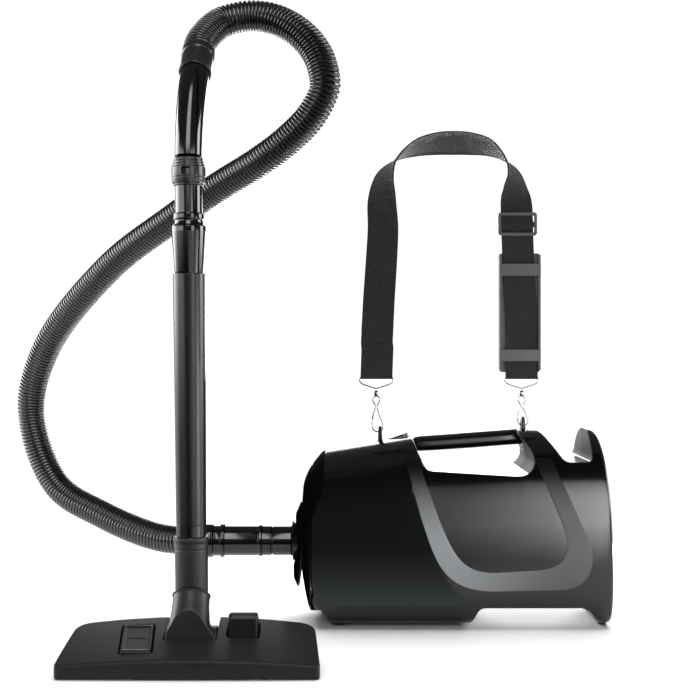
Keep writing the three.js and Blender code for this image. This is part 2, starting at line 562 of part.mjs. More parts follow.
add('neck_axle', turnedX(disc(3, HEAD_X - 28.8, HEAD_X + 28.8), PIVOT[0], PIVOT[1], 12), 0xa0a2a4, 0.3, 1);

const soleRing = (z) => headU.map((u) => headRing(u, 3, 0)[0]).concat(headU.slice().reverse()
  .map((u) => headRing(u, 3, 0)[8])).map((p) => V(p.x, p.y, z));
const soleSolid = prismZ(shapeOf(soleRing(0).map((p) => [p.x, p.y])), 0, 2.6);
const brushSlots = [box(HEAD_X - 113, HEAD_X + 113, -323, -317, -2, 5), box(HEAD_X - 108, HEAD_X - 32, -250, -244, -2, 5),
  box(HEAD_X + 32, HEAD_X + 108, -250, -244, -2, 5)];
const suction = box(HEAD_X - 104, HEAD_X + 104, -307, -294, -2, 5);
const throat = box(HEAD_X - 22, HEAD_X + 22, -294.5, -250, -2, 5);
add('sole_plate', cut(soleSolid, ...brushSlots, suction, throat), 0x8d9093, 0.35, 0.9);

// Brush lift: a frame in the head with three strips that drop through the sole.
const frameBars = join(
  box(HEAD_X - 105, HEAD_X - 34, -248.6, -245.4, 0.5, 8), box(HEAD_X + 34, HEAD_X + 105, -248.6, -245.4, 0.5, 8),
  box(HEAD_X - 112, HEAD_X + 112, -324.6, -316, 6.8, 9.2),
  box(HEAD_X - 112, HEAD_X - 106, -320, -242.6, 6.8, 9.2), box(HEAD_X + 106, HEAD_X + 112, -320, -242.6, 6.8, 9.2),
  box(HEAD_X - 112, HEAD_X - 32, -251, -242.6, 6.8, 9.2), box(HEAD_X + 32, HEAD_X + 112, -251, -242.6, 6.8, 9.2),
);
add('brush_frame', frameBars, 0x55585a, 0.5);
add('brush_front', box(HEAD_X - 111, HEAD_X + 111, -321.6, -318.4, 0.5, 6.5), 0x1d1d1d, 0.95);

// Pedals: the left one lies flush, the right one stands up.
const topAt = (y) => 22.2 + (y + 325) * (43 - 22.2) / 84;
const leftProfile = shapeOf([[-309, 19], [-249.6, 32.5], [-249.6, topAt(-249.6) + 0.2], [-252, topAt(-252) + 1],
  [-308.5, topAt(-308.5) + 1], [-311, topAt(-311) + 0.2], [-311, 21]]);
add('pedal_left', cut(prismX(leftProfile, -305, -264), prismX(shapeOf([[-304, topAt(-304)], [-257, topAt(-257)],
  [-257, 70], [-304, 70]]), -300.5, -268.5)), 0x242527, 0.35);
const rightProfile = new THREE.Shape();
rightProfile.moveTo(-279.6, 24);
rightProfile.lineTo(-258, 24);
rightProfile.lineTo(-250, 34);
rightProfile.lineTo(-249.8, 42);
rightProfile.quadraticCurveTo(-260, 54, -271, 57.2);
rightProfile.quadraticCurveTo(-278, 58.6, -279, 53);
add('pedal_right', prismX(rightProfile, -189.3, -159.3), 0x242527, 0.4);

// ---------------------------------------------------------------- hose and its canister cuff
const canCuff = [[14, -242.3], [21, -242.3], [21, -233], [19.2, -232], [19.2, -224], [21.2, -223.6], [21.2, -218.8],
  [18.8, -218.2], [18.8, -176.4], [20, -176], [20, -172.6], [18.8, -172], [18.8, -160.6], [17.6, -160.2], [17.6, -158.8],
  [18.6, -158.2], [18.6, -96], [14, -96]];
add('hose_cuff_inlet', turnedX(canCuff, 0, INLET_Z, 20), 0x0d0e10, 0.15);

const cuffTop = arcEnd.clone().addScaledVector(cuffDir, CUFF_L).applyMatrix4(lean);
const cuffOut = cuffDir.clone().transformDirection(lean);
const hosePoints = [
  cuffTop, cuffTop.clone().addScaledVector(cuffOut, 14),
  V(-210.5, -160, 701.5), V(-192, -156, 709), V(-173.5, -155, 711.5), V(-154, -157, 709), V(-134, -161, 700.5),
  V(-115, -167, 686), V(-100.5, -174, 667), V(-92.5, -180, 646), V(-90.5, -183, 625),
  V(-105, -176, 596), V(-130, -163, 572), V(-163, -145, 550), V(-220, -108, 521), V(-273, -75, 490), V(-360, -15, 435),
  V(-456, 60, 333), V(-480.5, 84, 250), V(-446, 74, 158), V(-381, 45, 122), V(-304, 12, 97), V(-262, 0, INLET_Z),
  V(-242.6, 0, INLET_Z),
];
const hosePath = new THREE.CatmullRomCurve3(hosePoints, false, 'centripetal');
add('hose', new THREE.ExtrudeGeometry(circleShape(HOSE_R), { steps: 52, extrudePath: hosePath, curveSegments: 5 }),
  0x111213, 0.3);

// ---------------------------------------------------------------- shoulder strap
// Centre line, and the direction across the webbing from its outer to its inner edge.
const strapRoute = [
  [-30.6, 0, 302.2, 1, 0, 0], [-28.6, 0, 350, 1, 0, 0], [-26.3, 0, 397, 0.99, -0.14, 0], [-23.5, 0, 440, 0.98, -0.2, 0],
  [-21.3, 0, 486, 0.95, -0.31, 0], [-22.7, 0, 520, 0.86, -0.5, -0.05], [-19, 0, 550, 0.5, -0.84, -0.2],
  [-4, 0, 572, 0.05, -1, 0.02], [20.5, 0, 586, -0.15, -0.9, 0.4], [44, 0, 591, -0.05, -0.8, 0.6],
  [66, 0, 592, 0, -0.76, 0.65], [88, 0, 591, 0.05, -0.8, 0.6], [109.8, 0, 586.5, 0.13, -0.9, 0.4],
  [129.5, 0, 573, -0.05, -1, 0.02], [142.5, 0, 553, -0.45, -0.86, -0.2], [144.6, 0, 533, -0.83, -0.55, -0.05],
  [145, 0, 521, -0.97, -0.2, 0], [145.7, 0, 508.5, -1, 0, 0], [146.2, 0, 490, -1, 0, 0], [148, 0, 440, -1, 0, 0],
  [151.6, 0, 370, -1, 0, 0], [152, 0, 302.2, -1, 0, 0],
];
const strapCentre = new THREE.CatmullRomCurve3(strapRoute.map(([x, y, z]) => V(x, y, z)), false, 'centripetal');
const strapAcross = new THREE.CatmullRomCurve3(strapRoute.map((r) => V(r[3], r[4], r[5])), false, 'catmullrom');
const spanLengths = strapRoute.map(([x, y, z], i) => (i ? V(x, y, z).distanceTo(V(...strapRoute[i - 1].slice(0, 3))) : 0));
const strapTotal = spanLengths.reduce((a, b) => a + b, 0);
const strapRings = Array.from({ length: 45 }, (_, k) => {
  const f = k / 44;
  let d = f * strapTotal;
  let i = 1;
  while (i < strapRoute.length - 1 && d > spanLengths[i]) {
    d -= spanLengths[i];
    i += 1;
  }
  const t = Math.min(1, (i - 1 + d / spanLengths[i]) / (strapRoute.length - 1));
  const c = strapCentre.getPoint(t);
  const tangent = strapCentre.getTangent(t);
  const w = strapAcross.getPoint(t);
  w.addScaledVector(tangent, -w.dot(tangent)).normalize();
  const n = tangent.clone().cross(w).normalize();
  return [[-1, -1], [1, -1], [1, 1], [-1, 1]].map(([a, b]) => c.clone().addScaledVector(w, a * STRAP_W / 2)
    .addScaledVector(n, b * STRAP_T / 2));
});
add('strap_webbing', loft(strapRings), 0x2b2c2e, 0.9);

// Three-bar slider: outer bars ahead of the webbing, middle bar behind it.
const sliderX = 146.6;
const slider = join(
  box(sliderX - 24, sliderX - 21.2, -5, 5, 475, 504.5), box(sliderX + 21.2, sliderX + 24, -5, 5, 475, 504.5),
  box(sliderX - 22, sliderX + 22, -5, -2.2, 498.5, 504.5), box(sliderX - 22, sliderX + 22, -5, -2.2, 475, 481),
  box(sliderX - 22, sliderX + 22, 2.2, 5, 486.5, 493),
);
add('strap_slider', slider, 0x77797b, 0.5);

// Shoulder pad: back plate, side rails and two bridges over the webbing.
const padX = 149.8;
const pad = join(
  prismY(roundedRect(padX - 26, padX + 26, 305, 453.5, 4), 2.4, 8, 3),
  box(padX - 26, padX - 22.9, -3.4, 4, 309, 449.5), box(padX + 22.9, padX + 26, -3.4, 4, 309, 449.5),
  box(padX - 25, padX + 25, -4.2, -2, 425, 440), box(padX - 25, padX + 25, -4.2, -2, 319, 333.5),
);
add('shoulder_pad', pad, 0x6a6c6e, 0.75);

// Wire ring, swivel, hook and gate at each end of the strap.
function strapEnd(tag, x, top, drop) {
  const w = 20.6;
  const bar = top - 1.8;
  add(`strap_ring_${tag}`, wire([V(x + 1, 0, bar), V(x + w - 3, 0, bar), V(x + w, 0, bar - 2.5), V(x + w, 0, bar - 6),
    V(x + w - 3, 0, bar - 9), V(x + 3, 0, bar - 14), V(x, 0, bar - 15.2), V(x - 3, 0, bar - 14), V(x - w + 3, 0, bar - 9),
    V(x - w, 0, bar - 6), V(x - w, 0, bar - 2.5), V(x - w + 3, 0, bar), V(x - 1, 0, bar)], 1.1, 30, 3), 0xc9ccd0, 0.2, 1);
  const s = bar - 17;
  const neckTop = turned([[0, s - 8], [1.4, s - 8], [2.8, s - 5], [2.8, s - 1.6], [1.6, s + 0.2], [0, s + 0.2]], 12);
  neckTop.translate(x, 0, 0);
  const h = s - 7.4;
  const hook = [V(x, 0, h), V(x + 3.2, 0, h - 3.4), V(x + 3, 0, h - 8), V(x + 1.2, 0, h - 12), V(x + 4, 0, h - 20),
    V(x + 8.2, 0, h - 28), V(x + 9.6, 0, h - drop + 5), V(x + 5, 0, h - drop), V(x - 1, 0, h - drop + 0.2),
    V(x - 5.4, 0, h - drop + 2.6), V(x - 7.4, 0, h - 28.5)];
  add(`snap_hook_${tag}`, join(wire(hook, 1.1, 20, 3), neckTop), 0xc9ccd0, 0.2, 1);
  add(`hook_gate_${tag}`, cylinderAlong(V(x - 1.2, 0, h - 12), V(x - 6.9, 0, h - 27), 1, 8), 0xc9ccd0, 0.25, 1);
}
strapEnd('front', -29.6, 301.2, 44.4);
strapEnd('rear', 152, 301.2, 36.6);

const group = new THREE.Group();
group.name = 'portable_canister_vacuum';
parts.forEach((mesh) => group.add(mesh));
export default group;
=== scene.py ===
import math
import bpy
import numpy as np
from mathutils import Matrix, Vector


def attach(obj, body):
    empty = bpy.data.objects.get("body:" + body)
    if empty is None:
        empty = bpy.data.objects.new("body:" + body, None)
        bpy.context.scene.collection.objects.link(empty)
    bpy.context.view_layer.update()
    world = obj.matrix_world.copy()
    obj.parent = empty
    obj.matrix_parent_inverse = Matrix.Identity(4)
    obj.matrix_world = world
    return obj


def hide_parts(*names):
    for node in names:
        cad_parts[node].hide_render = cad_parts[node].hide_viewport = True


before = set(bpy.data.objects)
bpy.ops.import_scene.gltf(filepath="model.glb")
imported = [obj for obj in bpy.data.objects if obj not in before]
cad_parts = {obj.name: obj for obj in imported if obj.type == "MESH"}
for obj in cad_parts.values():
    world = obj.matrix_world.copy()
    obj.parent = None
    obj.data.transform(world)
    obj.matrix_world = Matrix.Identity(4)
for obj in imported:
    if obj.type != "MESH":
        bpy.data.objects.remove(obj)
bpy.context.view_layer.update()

MM = 0.001

# ------------------------------------------------------------------ camera
CAMERA_AT = (-0.0625, -1.6875, 0.3326)
LENS = 69.43

cam_data = bpy.data.cameras.new("camera")
cam_data.lens = LENS
cam_data.sensor_width = 36.0
camera = bpy.data.objects.new("camera", cam_data)
camera.location = CAMERA_AT
camera.rotation_euler = (math.radians(90), 0, 0)
bpy.context.scene.collection.objects.link(camera)
bpy.context.scene.camera = camera
bpy.context.scene.view_settings.view_transform = "Standard"


# ------------------------------------------------------------------ node helpers
def node(tree, kind, *values, **props):
    """A node of that kind: props are its settings, values its inputs in order (socket, number or None)."""
    made = tree.nodes.new("ShaderNode" + kind)
    for key, value in props.items():
        setattr(made, key, value)
    for slot_in, value in zip(made.inputs, values):
        if value is None:
            continue
        if isinstance(value, bpy.types.NodeSocket):
            tree.links.new(value, slot_in)
        else:
            slot_in.default_value = value
    return made


def sums(tree, operation, *values):
    return node(tree, "Math", *values, operation=operation).outputs[0]


def times(tree, a, b):
    return sums(tree, "MULTIPLY", a, b)


def place(tree, where="Object"):
    return node(tree, "TexCoord").outputs[where]


def noise(tree, scale, detail=2.0, rough=0.5, stretch=None):
    vector = place(tree)
    if stretch:
        vector = node(tree, "Mapping", vector, None, None, stretch).outputs[0]
    made = node(tree, "TexNoise")
    tree.links.new(vector, made.inputs["Vector"])
    made.inputs["Scale"].default_value = scale
    made.inputs["Detail"].default_value = detail
    made.inputs["Roughness"].default_value = rough
    return made.outputs[0]


def ramp(tree, value, low, high, a=0.0, b=1.0):
    """value from low..high to a..b, held at the ends."""
    made = node(tree, "MapRange", value, low, high, a, b)
    made.interpolation_type = "SMOOTHSTEP"
    return made.outputs[0]


def blend_colour(tree, factor, a, b):
    made = tree.nodes.new("ShaderNodeMix")
    made.data_type = "RGBA"
    for key, value in ((0, factor), (6, a), (7, b)):
        if isinstance(value, bpy.types.NodeSocket):
            tree.links.new(value, made.inputs[key])
        else:
            made.inputs[key].default_value = value if key == 0 else (*value, 1)
    return made.outputs[2]


def bump(tree, height, distance, strength=1.0, before=None):
    made = node(tree, "Bump")
    made.inputs["Strength"].default_value = strength
    made.inputs["Distance"].default_value = distance
    tree.links.new(height, made.inputs["Height"])
    if before is not None:
        tree.links.new(before, made.inputs["Normal"])
    return made.outputs[0]


def shader(name, rough, metal=0.0, **uniform):
    """A new material and its tree and principled shader; uniform sets sockets by name, _ for a space."""
    made = bpy.data.materials.new(name)
    made.use_nodes = True
    tree = made.node_tree
    surface = tree.nodes["Principled BSDF"]
    surface.inputs["Roughness"].default_value = rough
    surface.inputs["Metallic"].default_value = metal
    for key, value in uniform.items():
        surface.inputs[key.replace("_", " ")].default_value = value
    return made, tree, surface


def feed(tree, surface, **sockets):
    """Links each value to the shader's input of that name, _ for a space."""
    for key, value in sockets.items():
        tree.links.new(value, surface.inputs[key.replace("_", " ")])


def grey(value, tint=(1.0, 1.0, 1.0)):
    return tuple(value * t for t in tint)


def moulded(name, dark, light, rough, grain, relief, wear, smudge, specular):
    """Moulded plastic: two close colours, a fine moulded grain, smudges in the gloss and paler worn edges."""
    made, tree, surface = shader(name, rough, Specular_IOR_Level=specular)
    body = blend_colour(tree, noise(tree, 9, 3), dark, light)
    speck = ramp(tree, noise(tree, 0.35 / grain, 1), 0.35, 0.7)
    body = blend_colour(tree, times(tree, speck, 0.2), body, grey(1.35 * light[1]))
    edge = ramp(tree, node(tree, "NewGeometry").outputs["Pointiness"], 0.53, 0.62)
    rub = times(tree, edge, ramp(tree, noise(tree, 60, 3), 0.35, 0.65, 0.3, wear + 0.3))
    body = blend_colour(tree, times(tree, rub, wear), body, grey(2.2 * light[1] + 0.006))
    feed(tree, surface, Base_Color=body)
    patchy = sums(tree, "ADD", ramp(tree, noise(tree, 14, 2, 0.5), 0.2, 0.8, rough - smudge / 2,
                                    rough + smudge / 2),
                  times(tree, rub, 0.08))
    feed(tree, surface, Roughness=patchy)
    fine = noise(tree, 0.5 / grain, 2, 0.6)
    feed(tree, surface, Normal=bump(tree, fine, relief, 1.0))
    return made


def band_painted_shade(name):
    """Satin band with painted shade in its colour: palest low on the front arm, darker towards the rear and
    fading to near black at the top of both arms.
    """
    made, tree, surface = shader(name, 0.38, Specular_IOR_Level=0.2)
    x, _, z = node(tree, "SeparateXYZ", place(tree)).outputs
    # painted shade: the colour darkens towards the rear and towards the top, as light falls on the band
    along = ramp(tree, x, 0.03, 0.2, 1.0, 0.28)
    high = ramp(tree, z, 0.1, 0.195, 1.0, 0.0)
    tone = times(tree, along, high)
    mottle = ramp(tree, noise(tree, 400, 2), 0.3, 0.7, 0.96, 1.04)
    base = blend_colour(tree, times(tree, tone, mottle), grey(0.003),
                        grey(0.27, (0.96, 1.0, 1.03)))
    feed(tree, surface, Base_Color=base)
    feed(tree, surface, Roughness=ramp(tree, noise(tree, 14, 2), 0.2, 0.8, 0.36, 0.4))
    feed(tree, surface, Normal=bump(tree, noise(tree, 900, 2), 0.000003))
    return made


def drawn_metal(name, colour, rough, stretch=(1, 1, 0.04), relief=0.000015):
    """Metal with fine drawing lines, slight tarnish and varied gloss."""
    made, tree, surface = shader(name, rough, 1.0)
    tarnish = ramp(tree, noise(tree, 120, 4, 0.6), 0.4, 0.75)
    base = blend_colour(tree, times(tree, tarnish, 0.35), colour, grey(0.45 * colour[1]))
    feed(tree, surface, Base_Color=base)
    lines = noise(tree, 2600, 2, 0.6, stretch=stretch)
    feed(tree, surface, Roughness=ramp(tree, lines, 0.3, 0.7, rough * 0.7, rough * 1.4))
    feed(tree, surface, Normal=bump(tree, lines, relief))
    return made


def fibre(name, dark, light, scale, relief, rough=0.95):
    """Felt, paper or foam: clumped fibres in two colours with a rough relief."""
    made, tree, surface = shader(name, rough)
    clump = noise(tree, scale, 5, 0.7)
    feed(tree, surface, Base_Color=blend_colour(tree, ramp(tree, clump, 0.3, 0.7), dark, light))
    tree.links.new(ramp(tree, clump, 0.2, 0.8, rough - 0.15, min(1.0, rough + 0.05)),
                   surface.inputs["Roughness"])
    feed(tree, surface, Normal=bump(tree, noise(tree, scale * 3, 4, 0.7), relief))
    return made


def webbing(name):
    """Woven polypropylene webbing, the hollows of its weave painted darker as painted shade; the map runs in
    metres across and along the tape.
    """
    made, tree, surface = shader(name, 0.75, Sheen_Weight=0.08, Sheen_Roughness=0.5, Specular_IOR_Level=0.25)
    split = node(tree, "SeparateXYZ", place(tree, "UV"))
    across, length = split.outputs[0], split.outputs[1]
    row = sums(tree, "FLOOR", sums(tree, "DIVIDE", length, 0.0019))
    turn = times(tree, sums(tree, "MODULO", row, 2.0), math.pi)
    rib = sums(tree, "ABSOLUTE", sums(tree, "SINE", times(tree, length, math.pi / 0.0019)))
    angle = sums(tree, "ADD", times(tree, across, 2 * math.pi / 0.0022), turn)
    yarn = sums(tree, "MULTIPLY_ADD", sums(tree, "SINE", angle), 0.25, 0.75)
    height = times(tree, rib, yarn)
    fuzz = noise(tree, 1500, 4, 0.7)
    # painted shade: darker in the weave's hollows and lighter on the yarn tops, plus random fuzz in the tone
    shade = sums(tree, "ADD", times(tree, height, 0.75), times(tree, fuzz, 0.35))
    band = ramp(tree, noise(tree, 25, 3), 0.3, 0.7, 0.85, 1.15)
    base = blend_colour(tree, times(tree, shade, band), grey(0.003), grey(0.019, (1.0, 1.0, 1.01)))
    feed(tree, surface, Base_Color=base)
    relief = bump(tree, height, 0.00045, 1.0, bump(tree, fuzz, 0.00008))
    feed(tree, surface, Normal=relief)
    return made


def hose_plastic_painted_shade(name):
    """Ribbed hose: glossy crests over dull roots, the roots painted darker as painted shade in the creases;
    the map's second number counts the ribs.
    """
    made, tree, surface = shader(name, 0.2, Specular_IOR_Level=0.9)
    rib = node(tree, "SeparateXYZ", place(tree, "UV")).outputs[1]
    crest = ramp(tree, sums(tree, "PINGPONG", sums(tree, "FRACT", rib), 0.5), 0.12, 0.36)
    film = ramp(tree, noise(tree, 22, 3, 0.6), 0.4, 0.75)
    # painted shade: the roots between the ribs are coloured darker than the crests
    base = blend_colour(tree, crest, grey(0.0012), grey(0.0045, (0.97, 1.0, 0.98)))
    base = blend_colour(tree, times(tree, film, 0.12), base, grey(0.012))
    feed(tree, surface, Base_Color=base)
    gloss = sums(tree, "ADD", ramp(tree, crest, 0, 1, 0.4, 0.15), times(tree, film, 0.05))
    feed(tree, surface, Roughness=gloss)
    feed(tree, surface, Normal=bump(tree, noise(tree, 90, 2), 0.00001, 0.5))
    return made


# Dark and light colour, roughness, grain and relief in metres, wear of the edges, smudges, specular level.
PLASTICS = {
    "gloss_shell": (grey(0.0016), grey(0.0024, (0.92, 1.0, 1.06)), 0.15, 0.0006, 0.000001, 0.1, 0.02, 0.5),
    "gloss_cover": (grey(0.0014), grey(0.0022), 0.12, 0.0006, 0.000001, 0.1, 0.02, 0.5),
    "matte_black": (grey(0.003), grey(0.005), 0.38, 0.0005, 0.00001, 0.2, 0.06, 0.35),
    "matte_grey": (grey(0.008), grey(0.011, (1.02, 1, 0.98)), 0.42, 0.0006, 0.00002, 0.2, 0.08, 0.35),
    "wand_satin": (grey(0.0035), grey(0.005, (0.98, 1, 1.04)), 0.26, 0.0006, 0.00001, 0.15, 0.04, 0.4),
    "grip_satin": (grey(0.003), grey(0.005), 0.22, 0.0006, 0.000004, 0.15, 0.04, 0.5),
    "head_grain": (grey(0.006), grey(0.009, (1.0, 1.02, 1.04)), 0.5, 0.0007, 0.00004, 0.25, 0.08, 0.2),
    "pedal_satin": (grey(0.006), grey(0.009), 0.36, 0.0006, 0.00001, 0.25, 0.05, 0.22),
    "gloss_tube": (grey(0.0012), grey(0.002), 0.12, 0.0006, 0.000001, 0.12, 0.03, 0.55),
    "cuff_grey": (grey(0.005), grey(0.008), 0.3, 0.0006, 0.00001, 0.2, 0.05, 0.5),
    "bezel_grey": (grey(0.10), grey(0.14), 0.3, 0.0005, 0.000005, 0.2, 0.08, 0.5),
    "rubber": (grey(0.008), grey(0.012), 0.75, 0.0004, 0.00004, 0.3, 0.08, 0.3),
    "pad_rubber": (grey(0.06), grey(0.075, (1.0, 1.0, 0.99)), 0.5, 0.0006, 0.00004, 0.3, 0.08, 0.35),
    "slider": (grey(0.05), grey(0.07), 0.4, 0.0005, 0.00002, 0.3, 0.08, 0.4),
    # paler grey for the cut walls is painted reflection of their sheen
    "cut_wall": (grey(0.02), grey(0.026), 0.6, 0.0005, 0.00002, 0.1, 0.08, 0.15),
    "blank_label": (grey(0.0015), grey(0.003), 0.2, 0.0006, 0.000002, 0.05, 0.08, 0.5),
}
# Colour, roughness, and the drawing lines' scale along X, Y and Z, smallest the way they run.
METALS = {
    "wire_nickel": ((0.34, 0.34, 0.35), 0.25),
    "screw_steel": ((0.5, 0.5, 0.5), 0.35),
    "aluminium": ((0.75, 0.76, 0.78), 0.35, (0.05, 1, 1)),
    "motor_steel": ((0.55, 0.56, 0.58), 0.4, (0.05, 1, 1)),
    "copper_iron": ((0.70, 0.34, 0.16), 0.4, (1, 0.05, 1)),
}
# Dark and light colour, clumps per metre, relief in metres and, where not the usual, roughness.
FIBRES = {
    "thread": (grey(0.02), grey(0.05), 4000, 0.00005, 0.8),
    "paper_bag": ((0.46, 0.36, 0.22), (0.60, 0.50, 0.34), 700, 0.00008),
    "card": ((0.34, 0.24, 0.13), (0.44, 0.32, 0.19), 1100, 0.00005),
    "filter_blue": ((0.03, 0.08, 0.17), (0.07, 0.16, 0.30), 900, 0.0004),
    "filter_white": ((0.62, 0.62, 0.58), (0.80, 0.80, 0.77), 900, 0.0003),
    "bristle": (grey(0.012), grey(0.03), 3000, 0.00005, 0.6),
    "felt_seal": (grey(0.015), grey(0.04), 1500, 0.0001),
}
MAT = {name: make(name, *values) for make, kinds in ((moulded, PLASTICS), (drawn_metal, METALS),
                                                     (fibre, FIBRES))
       for name, values in kinds.items()}
MAT.update(satin_band=band_painted_shade("satin_band"), hose=hose_plastic_painted_shade("hose"), webbing=webbing("webbing"))


# ------------------------------------------------------------------ mesh helpers, all in millimetres
def mesh_piece(name, verts, faces, material, body, slot, stands_for=(), normals=None, uv=None, angle=None):
    """A piece from points in millimetres and faces of three or four corners."""
    mesh = bpy.data.meshes.new(name)
    mesh.from_pydata((np.asarray(verts, float) * MM).tolist(), [], np.asarray(faces).tolist()
                     if isinstance(faces, np.ndarray) else faces)
    mesh.validate()
    if uv is not None:
        layer = mesh.uv_layers.new(name="map")
        corner = np.zeros(len(mesh.loops), np.int32)
        mesh.loops.foreach_get("vertex_index", corner)
        flat = uv if len(uv) == len(corner) else np.asarray(uv)[corner]
        layer.data.foreach_set("uv", np.asarray(flat, np.float32).ravel())
    mesh.polygons.foreach_set("use_smooth", [True] * len(mesh.polygons))
    if normals is not None:
        mesh.normals_split_custom_set_from_vertices(normals.tolist())
    elif angle is not None:
        mesh.set_sharp_from_angle(angle=math.radians(angle))
    mesh.materials.append(MAT[material])
    made = bpy.data.objects.new(name, mesh)
    bpy.context.scene.collection.objects.link(made)
    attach(made, body)
    if stands_for:
        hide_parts(*stands_for)
    return made


def smax(a, b, r):
    """The larger of two distances, rounded where they meet."""
    h = np.maximum(r - np.abs(a - b), 0) / r
    return np.maximum(a, b) + h * h * r / 4


def smin(a, b, r):
    return -smax(-a, -b, r)


def both(r, *fields):
    """Intersection of several fields with rounded edges."""
    out = fields[0]
    for f in fields[1:]:
        out = smax(out, f, r)
    return out


def table(points, soft, step=0.2, margin=40):
    """A curve through the points, softened over that many millimetres at its corners."""
    a, b = np.array(points, float).T
    xs = np.arange(a[0] - margin, a[-1] + margin, step)
    ys = np.interp(xs, a, b)
    k = int(4 * soft / step)
    weight = np.exp(-0.5 * (np.arange(-k, k + 1) * step / soft) ** 2)
    ys = np.convolve(np.pad(ys, k, mode="edge"), weight / weight.sum(), mode="valid")
    return lambda x: np.interp(x, xs, ys)


def block(p, low, high, r):
    """Box between two corners, with rounded edges."""
    x, y, z = p
    out = both(r, low[0] - x, x - high[0])
    return both(r, out, low[1] - y, y - high[1], low[2] - z, z - high[2])


def plate(a, b, half_a, half_b, r):
    """Distance to a rectangle of those half sizes about the origin, with a border r wide rounded about it."""
    return np.hypot(np.maximum(np.abs(a) - half_a, 0), np.maximum(np.abs(b) - half_b, 0)) - r


def measured(p, start, axis):
    """Points seen from start, how far each lies along the axis, and how far off it."""
    q = p - start[:, None]
    h = q.T @ axis
    return q, h, np.linalg.norm(q - axis[:, None] * h, axis=0)


def outline_distance(points, a, b):
    """Signed distance to a closed outline, negative inside."""
    pts = np.array(points, float)
    best = np.full(a.shape, 1e9)
    inside = np.zeros(a.shape, bool)
    for (x0, z0), (x1, z1) in zip(pts, np.roll(pts, -1, 0)):
        dx, dz = x1 - x0, z1 - z0
        t = np.clip(((a - x0) * dx + (b - z0) * dz) / (dx * dx + dz * dz + 1e-12), 0, 1)
        best = np.minimum(best, (a - x0 - t * dx) ** 2 + (b - z0 - t * dz) ** 2)
        crosses = (z0 > b) != (z1 > b)
        inside ^= crosses & (a < dx * (b - z0) / (dz if dz else 1e-12) + x0)
    return np.where(inside, -1, 1) * np.sqrt(best)


class Outline:
    """A closed outline's signed distance, kept on a grid and read smoothly between its points."""

    def __init__(self, points, step=1.0, margin=16):
        pts = np.array(points, float)
        self.step, self.low = step, pts.min(0) - margin
        self.count = ((pts.max(0) + margin - self.low) / step).astype(int) + 2
        a, b = np.meshgrid(*[lo + step * np.arange(n) for lo, n in zip(self.low, self.count)], indexing="ij")
        self.grid = outline_distance(points, a, b)

    def __call__(self, a, b):
        out, index, part = 0, [], []
        beyond = 0
        for value, lo, n in zip((a, b), self.low, self.count):
            u = (value - lo) / self.step
            held = np.clip(u, 1.001, n - 2.001)
            beyond = beyond + (u - held) ** 2
            i = held.astype(int)
            index.append(i)
            t = held - i
            part.append((((-t + 2) * t - 1) * t / 2, ((3 * t - 5) * t * t + 2) / 2,
                         ((-3 * t + 4) * t + 1) * t / 2, (t - 1) * t * t / 2))
        for i in range(4):
            for j in range(4):
                out = out + part[0][i] * part[1][j] * self.grid[index[0] + i - 1, index[1] + j - 1]
        return out + np.sqrt(beyond) * self.step


def bezier(p0, p1, p2, p3, n):
    """Points of a cubic curve after its first one."""
    t = np.linspace(0, 1, n + 1)[1:, None]
    p0, p1, p2, p3 = (np.array(p, float) for p in (p0, p1, p2, p3))
    return ((1 - t) ** 3 * p0 + 3 * (1 - t) ** 2 * t * p1 + 3 * (1 - t) * t * t * p2 + t ** 3 * p3).tolist()


def bend_to(p0, p1, p2):
    """A rounded corner from p0 to p2 whose tangents meet at p1."""
    p0, p1, p2 = (np.array(p, float) for p in (p0, p1, p2))
    return bezier(p0, p0 + (p1 - p0) * 2 / 3, p2 + (p1 - p2) * 2 / 3, p2, 8)


